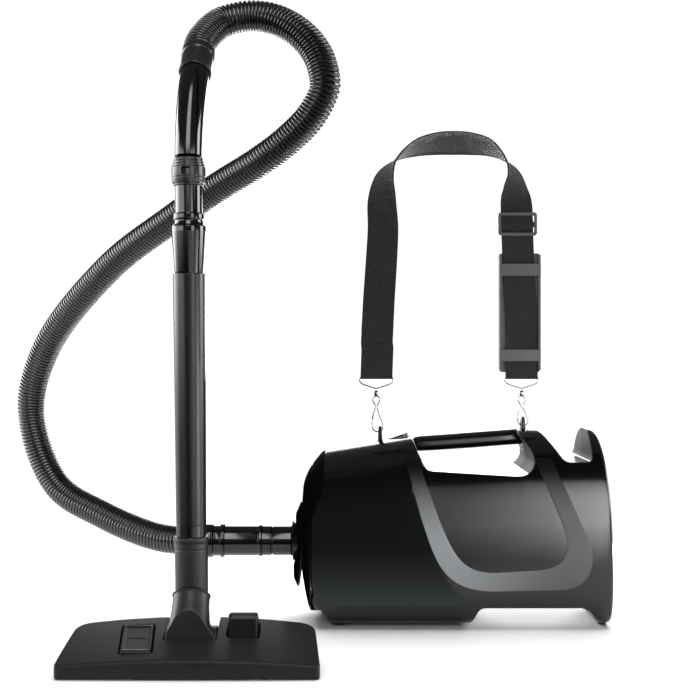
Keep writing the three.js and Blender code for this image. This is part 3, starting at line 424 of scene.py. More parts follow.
def skin(field, low, high, step):
    """Points, four-cornered faces and normals of the surface where the field is zero."""
    group = 4
    low, high = np.array(low, float), np.array(high, float)
    coarse = np.ceil((high - low) / (step * group)).astype(int)
    centre = [low[k] + (np.arange(coarse[k]) + 0.5) * step * group for k in range(3)]
    near = np.abs(field(np.array(np.meshgrid(*centre, indexing="ij")).reshape(3, -1))).reshape(coarse)
    cells = (near < step * group * 1.9).repeat(group, 0).repeat(group, 1).repeat(group, 2)
    nodes = np.zeros(np.array(cells.shape) + 1, bool)
    for i in (0, 1):
        for j in (0, 1):
            for k in (0, 1):
                nodes[i:i + cells.shape[0], j:j + cells.shape[1], k:k + cells.shape[2]] |= cells
    where = np.argwhere(nodes)
    value = np.full(nodes.shape, np.nan, np.float32)
    value[nodes] = field(low[:, None] + step * where.T)
    corners, points, flips = [], [], []
    for axis in range(3):
        ahead = np.eye(3, dtype=int)[axis]
        first = tuple(slice(0, n - d) for n, d in zip(nodes.shape, ahead))
        second = tuple(slice(d, n) for n, d in zip(nodes.shape, ahead))
        cross = np.argwhere((value[first] < 0) & (value[second] >= 0)
                            | (value[first] >= 0) & (value[second] < 0))
        others = [k for k in range(3) if k != axis]
        inner = np.all((cross[:, others] > 0) & (cross[:, others] < np.array(cells.shape)[others]), axis=1)
        cross = cross[inner]
        va = value[tuple(cross.T)]
        vb = value[tuple((cross + ahead).T)]
        points.append(cross + (va / (va - vb))[:, None] * ahead)
        a, b = (np.eye(3, dtype=int)[(axis + 1) % 3], np.eye(3, dtype=int)[(axis + 2) % 3])
        around = np.stack([cross - a - b, cross - b, cross, cross - a], 1)
        corners.append(np.ravel_multi_index(tuple(around.reshape(-1, 3).T), cells.shape).reshape(-1, 4))
        flips.append(va >= 0)
    corners, points, flips = np.concatenate(corners), np.concatenate(points), np.concatenate(flips)
    _, faces = np.unique(corners, return_inverse=True)
    faces = faces.reshape(-1, 4)
    count = np.bincount(faces.ravel())
    p = np.array([np.bincount(faces.ravel(), np.repeat(points[:, k], 4)) / count for k in range(3)])
    p = low[:, None] + step * p
    faces[flips] = faces[flips][:, ::-1]

    def slope(q):
        h = step * 0.2
        return np.array([field(q + h * np.eye(3)[k][:, None]) - field(q - h * np.eye(3)[k][:, None])
                         for k in range(3)]) / (2 * h)

    for turn in range(4):
        if turn == 2:
            middle = p[:, faces].mean(2)
            eased = np.array([np.bincount(faces.ravel(), np.repeat(middle[k], 4)) / count for k in range(3)])
            p = p + 0.6 * (eased - p)
        g = slope(p)
        move = field(p) / np.maximum((g * g).sum(0), 0.05)
        p = p - np.clip(move, -step, step) * g
    g = slope(p)
    return p.T, faces, (g / np.maximum(np.linalg.norm(g, axis=0), 1e-9)).T


def solid(name, field, low, high, step, material, body, slot, stands_for):
    points, faces, normals = skin(field, low, high, step)
    return mesh_piece(name, points, faces, material, body, slot, stands_for, normals)


def rounded_profile(points, r=0.4, n=3):
    """Each corner of an open (radius, height) profile replaced by a small arc."""
    pts = [np.array(p, float) for p in points]
    out = [pts[0]]
    for a, b, c in zip(pts, pts[1:], pts[2:]):
        u, v = a - b, c - b
        cut = min(r, 0.45 * np.linalg.norm(u), 0.45 * np.linalg.norm(v))
        u, v = u / max(np.linalg.norm(u), 1e-9) * cut, v / max(np.linalg.norm(v), 1e-9) * cut
        for t in np.linspace(0, 1, n + 1):
            out.append((1 - t) ** 2 * (b + u) + 2 * (1 - t) * t * b + t * t * (b + v))
    out.append(pts[-1])
    return np.array(out)


def frames_along(points):
    """Tangents and two steady normals along a row of points."""
    p = np.array(points, float)
    tangent = np.gradient(p, axis=0)
    tangent /= np.linalg.norm(tangent, axis=1)[:, None]
    side = np.cross(tangent[0], (0, 1, 0) if abs(tangent[0][1]) < 0.9 else (1, 0, 0))
    rows = []
    for t in tangent:
        side = side - t * side.dot(t)
        side /= np.linalg.norm(side)
        rows.append((t, side, np.cross(t, side)))
    return p, rows


def rings_to_faces(rows, count, closed_rows=False, caps=False):
    """Four-cornered faces between neighbouring rings of count points each, and the two end faces if caps."""
    a = np.arange(rows - (0 if closed_rows else 1))[:, None] * count
    b = (a + count) % (rows * count)
    k = np.arange(count)[None, :]
    n = (k + 1) % count
    faces = np.stack([a + k, a + n, b + n, b + k], 2).reshape(-1, 4).tolist()
    if caps:
        faces.append(list(range(count))[::-1])
        faces.append(list(range((rows - 1) * count, rows * count)))
    return faces


def swept(points, radii, sides):
    """Round section of the given radii along a row of points: vertices and faces."""
    p, rows = frames_along(points)
    turn = 2 * np.pi * np.arange(sides) / sides
    verts = [c + r * (np.cos(turn)[:, None] * u + np.sin(turn)[:, None] * v)
             for c, r, (_, u, v) in zip(p, radii, rows)]
    return np.concatenate(verts), rings_to_faces(len(p), sides, caps=True)


def turned(name, profile, start, direction, material, body, slot, stands_for, sides=96, r=0.4):
    """Turned piece: (radius, distance along the axis) pairs, rounded at the corners, closed into a ring."""
    axis = np.array(direction, float) / np.linalg.norm(direction)
    u = np.cross(axis, (0, 1, 0) if abs(axis[1]) < 0.9 else (1, 0, 0))
    u /= np.linalg.norm(u)
    v = np.cross(axis, u)
    rows = rounded_profile([*profile, profile[0], profile[1]], r)[4:-1]
    turn = 2 * np.pi * np.arange(sides) / sides
    verts = [np.array(start) + h * axis + q * (np.cos(turn)[:, None] * u + np.sin(turn)[:, None] * v) for q,
             h in rows]
    faces = rings_to_faces(len(rows), sides, closed_rows=True)
    return mesh_piece(name, np.concatenate(verts), faces, material, body, slot, stands_for, angle=32)


def catmull(points, at, power=0.5):
    """Catmull-Rom curve through the points at those parameters; power 0.5 is centripetal and 0 uniform."""
    p = np.array(points, float)
    p = np.vstack([2 * p[0] - p[1], p, 2 * p[-1] - p[-2]])
    i = np.minimum(np.array(at).astype(int), len(points) - 2)
    t = (np.array(at) - i)[:, None]
    a, b, c, d = p[i], p[i + 1], p[i + 2], p[i + 3]
    gap = [np.maximum(np.linalg.norm(q1 - q0, axis=1), 1e-6)[:, None] ** power for q0,
           q1 in ((a, b), (b, c), (c, d))]
    t1 = ((b - a) / gap[0] - (c - a) / (gap[0] + gap[1]) + (c - b) / gap[1]) * gap[1]
    t2 = ((c - b) / gap[1] - (d - b) / (gap[1] + gap[2]) + (d - c) / gap[2]) * gap[1]
    return b + t1 * t + (-3 * b + 3 * c - 2 * t1 - t2) * t ** 2 + (2 * b - 2 * c + t1 + t2) * t ** 3


def even(points, pitch, dense=24):
    """Parameters of evenly spaced points along the curve, and its length."""
    at = np.linspace(0, len(points) - 1, (len(points) - 1) * dense + 1)
    run = np.concatenate([[0], np.cumsum(np.linalg.norm(np.diff(catmull(points, at), axis=0), axis=1))])
    count = max(2, int(round(run[-1] / pitch)))
    return np.interp(np.linspace(0, run[-1], count + 1), run, at), run[-1]


def hollow_tube(name, points, outside, inside, material, body, slot, stands_for):
    """Tube with a bore, closed at both ends: lists of outer and inner radii along the points."""
    sides = 64
    p, rows = frames_along(points)
    turn = 2 * np.pi * np.arange(sides) / sides
    loop = [(i, outside[i]) for i in range(len(p))] + [(i, inside[i]) for i in reversed(range(len(p)))]
    verts = [p[i] + r * (np.cos(turn)[:, None] * rows[i][1] + np.sin(turn)[:, None] * rows[i][2]) for i,
             r in loop]
    return mesh_piece(name, np.concatenate(verts), rings_to_faces(len(loop), sides, closed_rows=True),
                      material, body, slot, stands_for, angle=40)


def add_part(verts, faces, more_verts, more_faces):
    """Puts a further part's vertices and faces at the end of those lists."""
    faces += [[k + len(verts) for k in face] for face in more_faces]
    verts += more_verts.tolist()


def finish_cad(name, material):
    """A CAD node whose shape is right takes its material."""
    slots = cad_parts[name].data.materials
    slots.clear()
    slots.append(MAT[material])


# ------------------------------------------------------------------ shared dimensions, millimetres
SEAM_X = -109.0
INLET_Z = 94.5
MOTOR_Z = 103.0
HOSE_D = 35.4
RIB_PITCH = 4.4
CUFF_L = 38.0
HEAD_TURN = 56  # degrees that the floor tool turns under the neck, and one more
CHEEK_CLEAR = 17.4  # how low the neck's cheeks may reach below their pivot at any tilt
WAND_FOOT = np.array([-229.6, -257.0, 0.0])
WAND_LEAN = math.radians(-0.45)
HANDLE_YAW = math.radians(5)
HANDLE_R = 177.0
BEND = (5.0, 38.5)
BEND_Z = 537.8
NECK_TILT = math.radians(32)
NECK_AXIS = np.array([0, math.sin(NECK_TILT), math.cos(NECK_TILT)])
SWIVEL = np.array([-229.2, -257.0, 73.1])
HEAD_X, HEAD_FRONT, HEAD_BACK = -229.0, -331.0, -235.0
PIVOT = (-266.0, 21.0)
AXLE_HOLE_R = 3.3
NECK_HALF = 24.8
STRAP_W, STRAP_T = 40.0, 2.0
STRAP_ENDS = ((-29.4, 2.6), (152, -0.4))  # X at height 302, and how far it has leaned 68 above that
SLIDER_X, SLIDER_Z = 146.6, 489.75
PAD_X, PAD_Z = 149.8, 379.25
HALF_GAP = 0.15  # half of the gap between two neighbours
WALL = 4.0
CROWN, SQUARE = 2.3, 6.0  # powers of the ovals above and below the canister's middle

TOP_LINE = [(-120, 165), (-119.5, 171), (-112, 187), (-102, 200), (-94.6, 208.5), (14, 225.8), (136, 234.6),
            (145, 235.6), (252, 236.6)]
BASE_LINE = [(-120, 62), (-116, 42), (-111.4, 25), (-108, 21.5), (-97, 12.5), (-87, 2), (252, 2)]
HALF_WIDTH = [(-120, 76), (-119, 81), (-116.5, 84.5), (-112, 87), (-105, 88.2), (-60, 90.5), (0, 92),
              (180, 92), (236, 91), (247, 89.5), (252, 86.5)]
REAR_EDGE = [(12, 250.3), (60, 250.8), (110, 249.7), (160, 247), (206, 243), (229, 240), (237.5, 236.5)]
TOP = table(TOP_LINE, 2.0)
BASE = table(BASE_LINE, 1.2)
COVER_BASE = table([(-120, 60), (-116, 38), (-113, 24), (-111, 18.6), (-109, 17), (-85, 17)], 0.8)
HALF = table(HALF_WIDTH, 3.0)
REAR = table(REAR_EDGE, 6.0)


# ------------------------------------------------------------------ hose
def leaned(p):
    """A point near the wand's own axis, put where the leaning wand stands."""
    x, y, z = p
    c, s = math.cos(WAND_LEAN), math.sin(WAND_LEAN)
    return WAND_FOOT + np.array([x * c + z * s, y, -x * s + z * c])


def bend_point(degrees, beyond=0.0):
    """The handle's centre line where it has turned so far, and some way straight on from there."""
    a, a0 = math.radians(degrees), math.radians(BEND[0])
    back = HANDLE_R * (math.cos(a0) - math.cos(a)) + beyond * math.sin(a)
    up = BEND_Z + HANDLE_R * (math.sin(a) - math.sin(a0)) + beyond * math.cos(a)
    return leaned((back * math.sin(HANDLE_YAW), back * math.cos(HANDLE_YAW), up))


CUFF_START = bend_point(BEND[1])
CUFF_END = bend_point(BEND[1], CUFF_L)
CUFF_AXIS = (CUFF_END - CUFF_START) / CUFF_L
HOSE_ROUTE = [
    CUFF_END, CUFF_END + 14 * CUFF_AXIS,
    (-210.5, -160, 701.5), (-192, -156, 709), (-173.5, -155, 711.5), (-154, -157, 709), (-134, -161, 700.5),
    (-115, -167, 686), (-100.5, -174, 667), (-92.5, -180, 646), (-90.5, -183, 625),
    (-105, -176, 596), (-130, -163, 572), (-163, -145, 550), (-220, -108, 521), (-273, -75, 490),
    (-360, -15, 435), (-456, 60, 333), (-480.5, 84, 250), (-446, 74, 158), (-381, 45, 122), (-304, 12, 97),
    (-262, 0, INLET_Z), (-242.6, 0, INLET_Z),
]


def build_hose():
    """Corrugated hose: each rib is a rounded crest between narrow roots."""
    at, length = even(HOSE_ROUTE, RIB_PITCH / 8)
    centre = catmull(HOSE_ROUTE, at)
    run = np.linspace(0, length, len(at))
    phase = run / RIB_PITCH
    from_root = 0.5 - np.abs(phase % 1 - 0.5)
    radii = HOSE_D / 2 - 2.4 * np.exp(-(from_root / 0.15) ** 2) - 0.35 * (1 - 2 * from_root) ** 2
    radii[:2] = radii[-2:] = HOSE_D / 2 - 1.9
    sides = 44
    verts, faces = swept(centre, radii, sides)
    uv = np.stack([np.tile(np.arange(sides) / sides, len(at)), np.repeat(phase, sides)], 1)
    hose = mesh_piece("hose_ribbed", verts, faces, "hose", "hose_set", "hose", ["hose"], uv=uv)
    path = (catmull(HOSE_ROUTE, even(HOSE_ROUTE, 12)[0]) * MM).tolist()
    tuple(np.array(HOSE_ROUTE[-1], float) * MM)
    return length


# ------------------------------------------------------------------ canister
def squared_oval(y, z, half, high, power):
    """Distance to a squared oval of those half sizes about the origin, negative inside."""
    rho = ((np.abs(y) / half) ** power + (np.abs(z) / high) ** power) ** (1 / power)
    return np.hypot(y, z) * (1 - 1 / np.maximum(rho, 0.02))


def cross_section(x, inset=0.0, base_line=BASE):
    """Half width, middle height and half height of the canister's section at that X."""
    top, base = TOP(x) - inset, base_line(x) + inset
    return HALF(x) - inset, (top + base) / 2, (top - base) / 2


def outer(p, inset=0.0, base_line=BASE):
    """Distance to the canister's skin: squared ovals whose size follows the outlines along X."""
    x, y, z = p
    half, mid, high = cross_section(x, inset, base_line)
    return squared_oval(y, z - mid, half, high, np.where(z >= mid, CROWN, SQUARE))


def room(p, x0, x1, top, base):
    """A hollow with a wall round it, its top and base each a height or a curve along X."""
    x, y, z = p
    t, b = (f(x) if callable(f) else f for f in (top, base))
    mid, high = (t + b) / 2, (t - b) / 2
    oval = squared_oval(y, z - mid, HALF(x) - WALL, high, np.where(z >= mid, CROWN, 4.0))
    return both(2.0, oval, x0 - x, x - x1)


def bore(p, x0, x1, z0, r, y0=0.0):
    x, y, z = p
    return both(0.8, np.hypot(y - y0, z - z0) - r, x0 - x, x - x1)


SCOOP = Outline([(14.5, 270), (14.5, 226), (20, 208), (24, 200),
                 *bend_to((24, 200), (25, 188.5), (38, 187.5)), (136, 182),
                 *bend_to((136, 182), (154, 181), (158.5, 198)),
                 *bend_to((158.5, 198), (159, 211), (143.5, 228)), (143.5, 270)])
NOTCH = Outline([(164, 270), (164, 238), *bend_to((164, 238), (170, 236), (173.5, 230)), (191, 205),
                 *bend_to((191, 205), (195.5, 198.4), (202, 198.4)), (221, 198.4),
                 *bend_to((221, 198.4), (228, 198.4), (228, 206)), (228, 270)])
ARCH = Outline([(76, -12), (81.5, 2), (88, 17), *bend_to((88, 17), (91, 26), (99, 26)), (211, 26),
                *bend_to((211, 26), (221, 25), (227, 16)), (238, 2), (244, -12)])
BAG_TOP = table([(-116, 178), (-102, 194), (-95, 203), (-82, 206), (-60, 209), (-16, 216), (-8, 176),
                 (50, 176)], 1.5)
BAG_BASE = table([(-116, 25), (-95, 25), (-82, 7), (50, 7)], 1.5)


def canister(p):
    x, y, z = p
    f = both(5.0, outer(p), x - REAR(z))
    f = smax(f, SEAM_X + HALF_GAP - x, 1.0)
    f = smax(f, -np.maximum(x + 97, z - 21.4), 0.8)
    f = smax(f, -SCOOP(x, z), 2.6)
    f = smax(f, -NOTCH(x, z), 2.6)
    f = smax(f, -ARCH(x, z), 2.2)
    hollow = np.minimum(room(p, -130, 50, BAG_TOP, BAG_BASE), bore(p, 44, 70, MOTOR_Z, 45))
    hollow = np.minimum(hollow, np.minimum(room(p, 64, 118, 176, 30), bore(p, 114, 128, MOTOR_Z, 52)))
    hollow = np.minimum(hollow, room(p, 124, 237, 176, 30))
    f = smax(f, -hollow, 1.0)
    f = smax(f, -block(p, (230, -60, 52), (262, 60, 150), 3), 2.0)
    core = block((x, y, z - (x - 80) * 0.057), (8, -8, 215), (152, 8, 226), 2)
    f = np.minimum(f, core)
    well = both(0.8, plate(x + 1.5, y, 5, 0, 8.4), 217.4 - z)
    f = smax(f, -well, 0.8)
    for eyelet_x, z0 in ((-24.75, 211), (153.25, 228)):
        f = smax(f, -block(p, (eyelet_x - 4, -9.3, z0), (eyelet_x + 4, 9.3, 260), 1.0), 0.8)
    for foot_x, half_x, half_y, top in ((-75, 6.3, 58.3, 9), (243.2, 4.3, 52.3, 9), (0, 12.4, 40.4, 3.6)):
        f = smax(f, -block(p, (foot_x - half_x, -half_y, -5), (foot_x + half_x, half_y, top), 1), 0.6)
    return f


def canister_near(p):
    return smax(canister(p), p[1] + HALF_GAP, 0.8)


def canister_far(p):
    x, y, z = p
    f = smax(canister(p), HALF_GAP - y, 0.8)
    for well_x, well_z, well_y in ((4, 200, 52), (206, 187, 60)):
        f = smax(f, -both(0.8, np.hypot(x - well_x, z - well_z) - 5, well_y - 0.5 - y), 0.8)
    return smax(f, -bore(p, 236, 262, 34, 7.3, 52), 0.8)


def mark_cut_walls(made):
    """The upright walls of the hand hole and of the rear saddle get a dull, paler copy of the shell plastic;
    the paler grey is painted reflection of the sheen on those walls.
    """
    mesh = made.data
    mesh.materials.append(MAT["cut_wall"])
    centre = np.zeros(3 * len(mesh.polygons), np.float32)
    facing = np.zeros(3 * len(mesh.polygons), np.float32)
    mesh.polygons.foreach_get("center", centre)
    mesh.polygons.foreach_get("normal", facing)
    x, _, z = centre.reshape(-1, 3).T / MM
    cut = (np.abs(SCOOP(x, z)) < 0.9) | (np.abs(NOTCH(x, z)) < 0.9)
    upright = np.abs(facing.reshape(-1, 3)[:, 0]) > 0.55
    mesh.polygons.foreach_set("material_index", (cut & upright).astype(np.int32))


def build_housing():
    for side, field, low, high in (("near", canister_near, (-112, -95, -2), (256, 3, 241)),
                                   ("far", canister_far, (-112, -3, -2), (256, 95, 241))):
        mark_cut_walls(solid("housing_shell_" + side, field, low, high, 1.6, "gloss_shell", "canister",
                             "gloss_shell", ["housing_" + side]))


def side_y(x, z, proud=0.0):
    """How far the skin stands from the middle plane at that place on the side."""
    half, mid, high = cross_section(x)
    e = np.where(z >= mid, CROWN, SQUARE)
    return half * np.maximum(1 - (np.abs(z - mid) / high) ** e, 0) ** (1 / e) + proud


def band_edges():
    """The U band's outer and inner outlines, each from the front arm's top to the rear arm's."""
    out = [(3, 203), (21, 136), *bezier((21, 136), (38, 84), (46, 47), (108, 47), 24), (188, 48.5),
           *bezier((188, 48.5), (224, 50), (230, 82), (221, 105), 20), (177.5, 203)]
    inn = [(18, 203), (42.5, 133), *bezier((42.5, 133), (60, 90), (70, 68), (110, 69), 24), (152, 71.5),
           *bezier((152, 71.5), (186, 73), (203, 84), (191, 120), 20), (158, 203)]
    return [resample(edge, 160) for edge in (out, inn)]


def resample(edge, count):
    pts = np.array(edge, float)
    run = np.concatenate([[0], np.cumsum(np.linalg.norm(np.diff(pts, axis=0), axis=1))])
    at = np.linspace(0, run[-1], count)
    return np.stack([np.interp(at, run, pts[:, k]) for k in range(2)], 1)


def build_band(name, sign, node_name):
    """A satin strip that follows the side, a little proud, with its edges rolled down into the skin."""
    out, inn = band_edges()
    steps = [(-0.02, -1.0), (0.0, 0.0), (0.02, 0.22), (0.05, 0.32), (0.12, 0.35), (0.3, 0.35), (0.5, 0.35),
             (0.7, 0.35), (0.88, 0.35), (0.95, 0.32), (0.98, 0.22), (1.0, 0.0), (1.02, -1.0)]
    rows = []
    for t, proud in steps:
        line = out + (inn - out) * t
        rows.append(np.stack([line[:, 0], sign * side_y(line[:, 0], line[:, 1], proud), line[:, 1]], 1))
    under = [np.stack([r[:, 0], r[:, 1] - sign * 1.0, r[:, 2]], 1) for r in (rows[-1], rows[0])]
    loop = np.stack(rows + under, 1)
    faces = rings_to_faces(len(loop), loop.shape[1], caps=True)
    if sign > 0:
        faces = [f[::-1] for f in faces]
    mesh_piece(name, loop.reshape(-1, 3), faces, "satin_band", "canister", "satin_band", [node_name],
               angle=40)


def build_cover():
    """Front cover: a thin shell with a lip under the belly and a hole for the inlet."""
    def field(p):
        x, _, z = p
        skin_low = both(3.0, outer(p, 0, COVER_BASE), -120 - x)
        f = smax(skin_low, x - (SEAM_X - HALF_GAP), 1.0)
        f = smax(f, -both(2.0, outer(p, WALL, COVER_BASE), -116.8 - x), 0.8)
        lip = both(1.0, skin_low, x + 97.3, z - 21.1)
        f = smin(f, lip, 1.0)
        return smax(f, -bore(p, -150, -60, INLET_Z, 23.3), 0.8)
    solid("front_cover_shell", field, (-123, -91, 14), (-95, 91, 210), 1.2, "gloss_cover", "cover",
          "gloss_shell", ["front_cover"])


def build_latch():
    """Dished shield round the inlet; its tail stands off the cover at the bottom."""
    def field(p):
        x, y, z = p
        r, t = np.hypot(y, z - INLET_Z), np.arctan2(z - INLET_Z, y)
        tail = np.maximum(0, -np.sin(t)) ** 3
        rim = np.hypot((37 - 20 * tail) * np.cos(t), (49 + 8 * tail) * np.sin(t))
        inside = rim - r
        front = -123.5 - 0.444 * np.clip(inside, 0, 14) - 4.5 * tail
        back = np.where(inside > 3, -121.5 - 0.42 * (inside - 3), -118.5) - 4.5 * tail
        shell = both(1.2, r - rim, front - x, x - (-120.6 - 4.5 * tail), 30 - r)
        return smax(shell, x - back, 0.8)
    solid("cover_latch_shield", field, (-133, -40, 34), (-119, 40, 147), 0.8, "gloss_tube", "latch",
          "gloss_shell", ["cover_latch"])


def build_grip():
    """Carry grip over the hand hole."""
    high = table([(12, 222), (16, 224.6), (24, 226.2), (60, 228.6), (100, 231.6), (134, 234.2),
                  (150, 235.6)], 3)
    wide = table([(12, 15.2), (18, 16.4), (30, 17.2), (80, 16.6), (128, 17.2), (150, 15.4)], 4)
    low = table([(12, 206.2), (40, 207.2), (100, 211.4), (150, 215.4)], 8)

    def field(p):
        x, y, z = p
        mid, tall = (high(x) + low(x)) / 2, (high(x) - low(x)) / 2
        f = squared_oval(y, z - mid, wide(x), tall, 2.6)
        return smax(f, SCOOP(x, z) + 0.4, 3.0)
    solid("grip_sleeve", field, (10, -20, 200), (162, 20, 240), 1.0, "grip_satin", "canister", "matte_black",
          ["handle_grip"])


def slope_of(p, a, b):
    """Height of the straight line through two (x, z) places."""
    return a[1] + (p[0] - a[0]) * (b[1] - a[1]) / (b[0] - a[0])


def build_switch():
    """Long rocker with finger ribs towards its rear, in a bezel ring."""
    def oval(p, x0, x1, half):
        r = half - 0.3
        mid, run = (x0 + x1) / 2, (x1 - x0) / 2 - r
        return plate(p[0] - mid, p[1], run, 0, r)

    def bezel(p):
        top = p[2] - slope_of(p, (-16, 222), (13.5, 226.6))
        f = both(0.8, oval(p, -15, 12, 9), top, 217.8 - p[2])
        return smax(f, -both(0.6, oval(p, -13.4, 10.6, 7), 218.8 - p[2]), 0.6)

    def rocker(p):
        rise = np.where(p[0] < 4, slope_of(p, (-12.4, 223.2), (4, 228.6)),
                        slope_of(p, (4, 228.6), (9.4, 230.6)))
        finger = 0.5 * np.cos(p[0] * 2 * np.pi / 2.4) * np.clip((p[0] - 1) / 3, 0, 1) * 0.5
        return both(0.9, oval(p, -12.4, 9.4, 6.4), p[2] - rise + 0.2 + finger, 220.8 - p[2])
    solid("switch_bezel_ring", bezel, (-17, -11, 216), (14, 11, 229), 0.5, "bezel_grey", "canister",
          "gloss_shell", ["switch_bezel"])
    solid("switch_rocker_cap", rocker, (-14, -8, 219), (11, 8, 233), 0.5, "gloss_tube", "switch_rocker",
          "gloss_shell", ["power_switch"])


def build_eyelets():
    for tag, x, z0, z1, hole in (("front", -24.8, 212, 237.6, 231), ("rear", 153.2, 229, 249.5, 240.6)):
        def field(p, x=x, z0=z0, z1=z1, hole=hole):
            thick = np.interp(p[2], [z0, z1], [3.1, 1.8])
            arch = np.hypot(np.maximum(np.abs(p[1]) - 1.5, 0), np.maximum(p[2] - (z1 - 7.5), 0)) - 7.5
            f = both(1.2, np.abs(p[0] - x) - thick, arch, np.abs(p[1]) - 9, z0 - p[2])
            return smax(f, 4 - np.hypot(p[1], p[2] - hole), 0.9)
        solid("eyelet_plate_" + tag, field, (x - 6, -11, z0 - 2), (x + 6, 11, z1 + 2), 0.5, "matte_grey",
              "canister", "matte_black", ["strap_eyelet_" + tag])


def build_rear():
    """Exhaust louvre with level slots, and the ridged boot where a power cord would leave."""
    def grille(p):
        _, y, z = p
        f = block(p, (238, -59.6, 52.4), (246.5, 59.6, 149.6), 1.0)
        nearest = np.abs((z - 60.5 + 4.8) % 9.6 - 4.8)
        slots = both(1.0, nearest - 2.5, np.abs(y) - 52, 55 - z, z - 142)
        return smax(f, -slots, 1.2)
    solid("exhaust_louvre", grille, (236, -62, 50), (249, 62, 152), 0.9, "matte_black", "canister",
          "matte_black", ["exhaust_grille"])
    ridges = []
    for k in range(5):
        ridges += [(6.9 - 0.25 * k, 253.2 + 1.3 * k), (5.9 - 0.2 * k, 253.8 + 1.3 * k)]
    turned("cord_gland_boot", [(3.6, 238), (7, 238), (7, 252.6), *ridges, (3.6, 259)], (0, 52, 34), (1, 0, 0),
           "rubber", "canister", "rubber", ["cord_gland"], 48, 0.2)


def build_inlet():
    sleeve = [(19.2, -134.5), (24.5, -134.5), (24.5, -131.5), (22.9, -131.5), (22.9, -92), (19.2, -92)]
    turned("inlet_sleeve_ring", sleeve, (0, 0, INLET_Z), (1, 0, 0), "gloss_tube", "cover", "gloss_shell",
           ["inlet_sleeve"])
    cuff = [(14, -242.3), (20.4, -242.3), (21, -241.6), (21, -233), (19.2, -232), (19.2, -224),
            (21.2, -223.6), (21.2, -218.8), (18.8, -218.2), (18.8, -176.4), (20, -176), (20, -172.6),
            (18.8, -172), (18.8, -160.6), (17.6, -160.2), (17.6, -158.8), (18.6, -158.2), (18.6, -96),
            (14, -96)]
    turned("inlet_cuff", cuff, (0, 0, INLET_Z), (1, 0, 0), "gloss_tube", "hose_set", "gloss_tube",
           ["hose_cuff_inlet"], 96, 0.5)


# ------------------------------------------------------------------ handle and wand
def build_handle():
    up = leaned((0, 0, 1)) - leaned((0, 0, 0))
    foot = leaned((0, 0, 0))
    degrees = np.linspace(BEND[0], BEND[1], 48)
    arc = [bend_point(d) for d in degrees]
    hollow_tube("handle_bend", arc, np.linspace(14.4, 15.8, 48), [12.0] * 48, "gloss_tube", "hose_set",
                "gloss_tube", ["handle_tube"])
    cuff = [(12.2, 0.3), (17.2, 0.3), (17.9, 1.2), (17.9, 4.6), (17.2, 5.6), (17.4, 27), (18.4, 28.6),
            (18.4, 36.2), (17.7, 37.7), (12.2, 37.7)]
    turned("handle_cuff", cuff, CUFF_START, CUFF_AXIS, "cuff_grey", "hose_set", "matte_black",
           ["hose_cuff_handle"], 96, 0.5)
    lower = [(11.8, 408), (13.4, 408), (15.4, 413.6), (15.6, 416), (18.4, 458), (18.4, 463.4), (16, 465),
             (15, 470), (16.5, 470.4), (16.5, 476.4), (14.5, 477), (14.5, 536), (11.8, 536)]
    turned("handle_lower_tube", lower, foot, up, "gloss_tube", "hose_set", "gloss_tube", ["handle_lower"], 96,
           0.6)
    wand = [(12.6, 112), (14.6, 112), (15.2, 137), (15.9, 149), (16.9, 340), (17.35, 411), (17.35, 413.2),
            (15.8, 413.2), (13.8, 406.5), (12.9, 402), (12.6, 150)]
    turned("wand", wand, foot, up, "wand_satin", "hose_set", "matte_grey", ["wand_tube"], 96, 0.5)
    build_bleed(foot, up)
    build_collar(foot, up)
    build_label()


def build_bleed(foot, up):
    """Turning ring over the handle's bleed hole: a barrel with fine steps above a small window."""
    steps = [(506.3, 15.9), (508.4, 16.0), (509.0, 17.2), (513, 17.7), (520, 18.0), (526.2, 17.8),
             (526.7, 17.1), (529.3, 16.9), (529.8, 16.2), (532.2, 16.0), (532.7, 15.5), (536, 15.3)]

    def field(p):
        q, h, r = measured(p, foot, up)
        f = both(0.5, r - np.interp(h, *zip(*steps)), 14.8 - r, 506.3 - h, h - 536)
        across = np.abs(q[0] - math.sin(WAND_LEAN) * h + 1.0)
        window = both(0.5, across - 4.2, np.abs(h - 521) - 3.6, q[1] + 8)
        f = smax(f, -window, 0.5)
        groove = 0.4 - np.hypot(r - 18.0, h - 515)
        return smax(f, groove, 0.4)
    c = foot + up * 521
    solid("bleed_slide", field, c - (20, 20, 17), c + (20, 20, 17), 0.5, "cuff_grey", "bleed", "gloss_tube",
          ["bleed_ring"])


def build_collar(foot, up):
    """Socket at the floor tool end, its foot cut along the swivel plane."""
    def field(p):
        _, h, r = measured(p, foot, up)
        outside = np.interp(h, [50, 129, 131, 134, 135.4], [17.3, 17.7, 18.4, 18.4, 17.6])
        above = HALF_GAP - (p.T - SWIVEL) @ NECK_AXIS
        groove = 0.5 - np.hypot(r - 17.7, h - 122)
        return smax(both(0.8, r - outside, 15.6 - r, h - 135.4, above), groove, 0.4)
    solid("wand_socket", field, (-252, -278, 56), (-208, -236, 138), 0.8, "matte_grey", "hose_set",
          "matte_grey", ["wand_collar"])


def build_label():
    """Blank label bent round the front of the wand's foot, its back sunk into the wand."""
    heights, turns = np.linspace(135.9, 147, 8), np.radians(np.linspace(-58, 58, 30))

    def wrapped(r):
        return np.array([[leaned((r * math.sin(a), -r * math.cos(a), h)) for a in turns] for h in heights])
    skin_r, thick, sunk_r = 15.95, 0.12, 15.2
    loops = np.concatenate([wrapped(skin_r + thick), wrapped(sunk_r)[:, ::-1]], 1)
    faces = rings_to_faces(len(heights), 2 * len(turns), caps=True)
    mesh_piece("wand_label", loops.reshape(-1, 3), faces, "blank_label", "hose_set", "gloss_tube", angle=30)


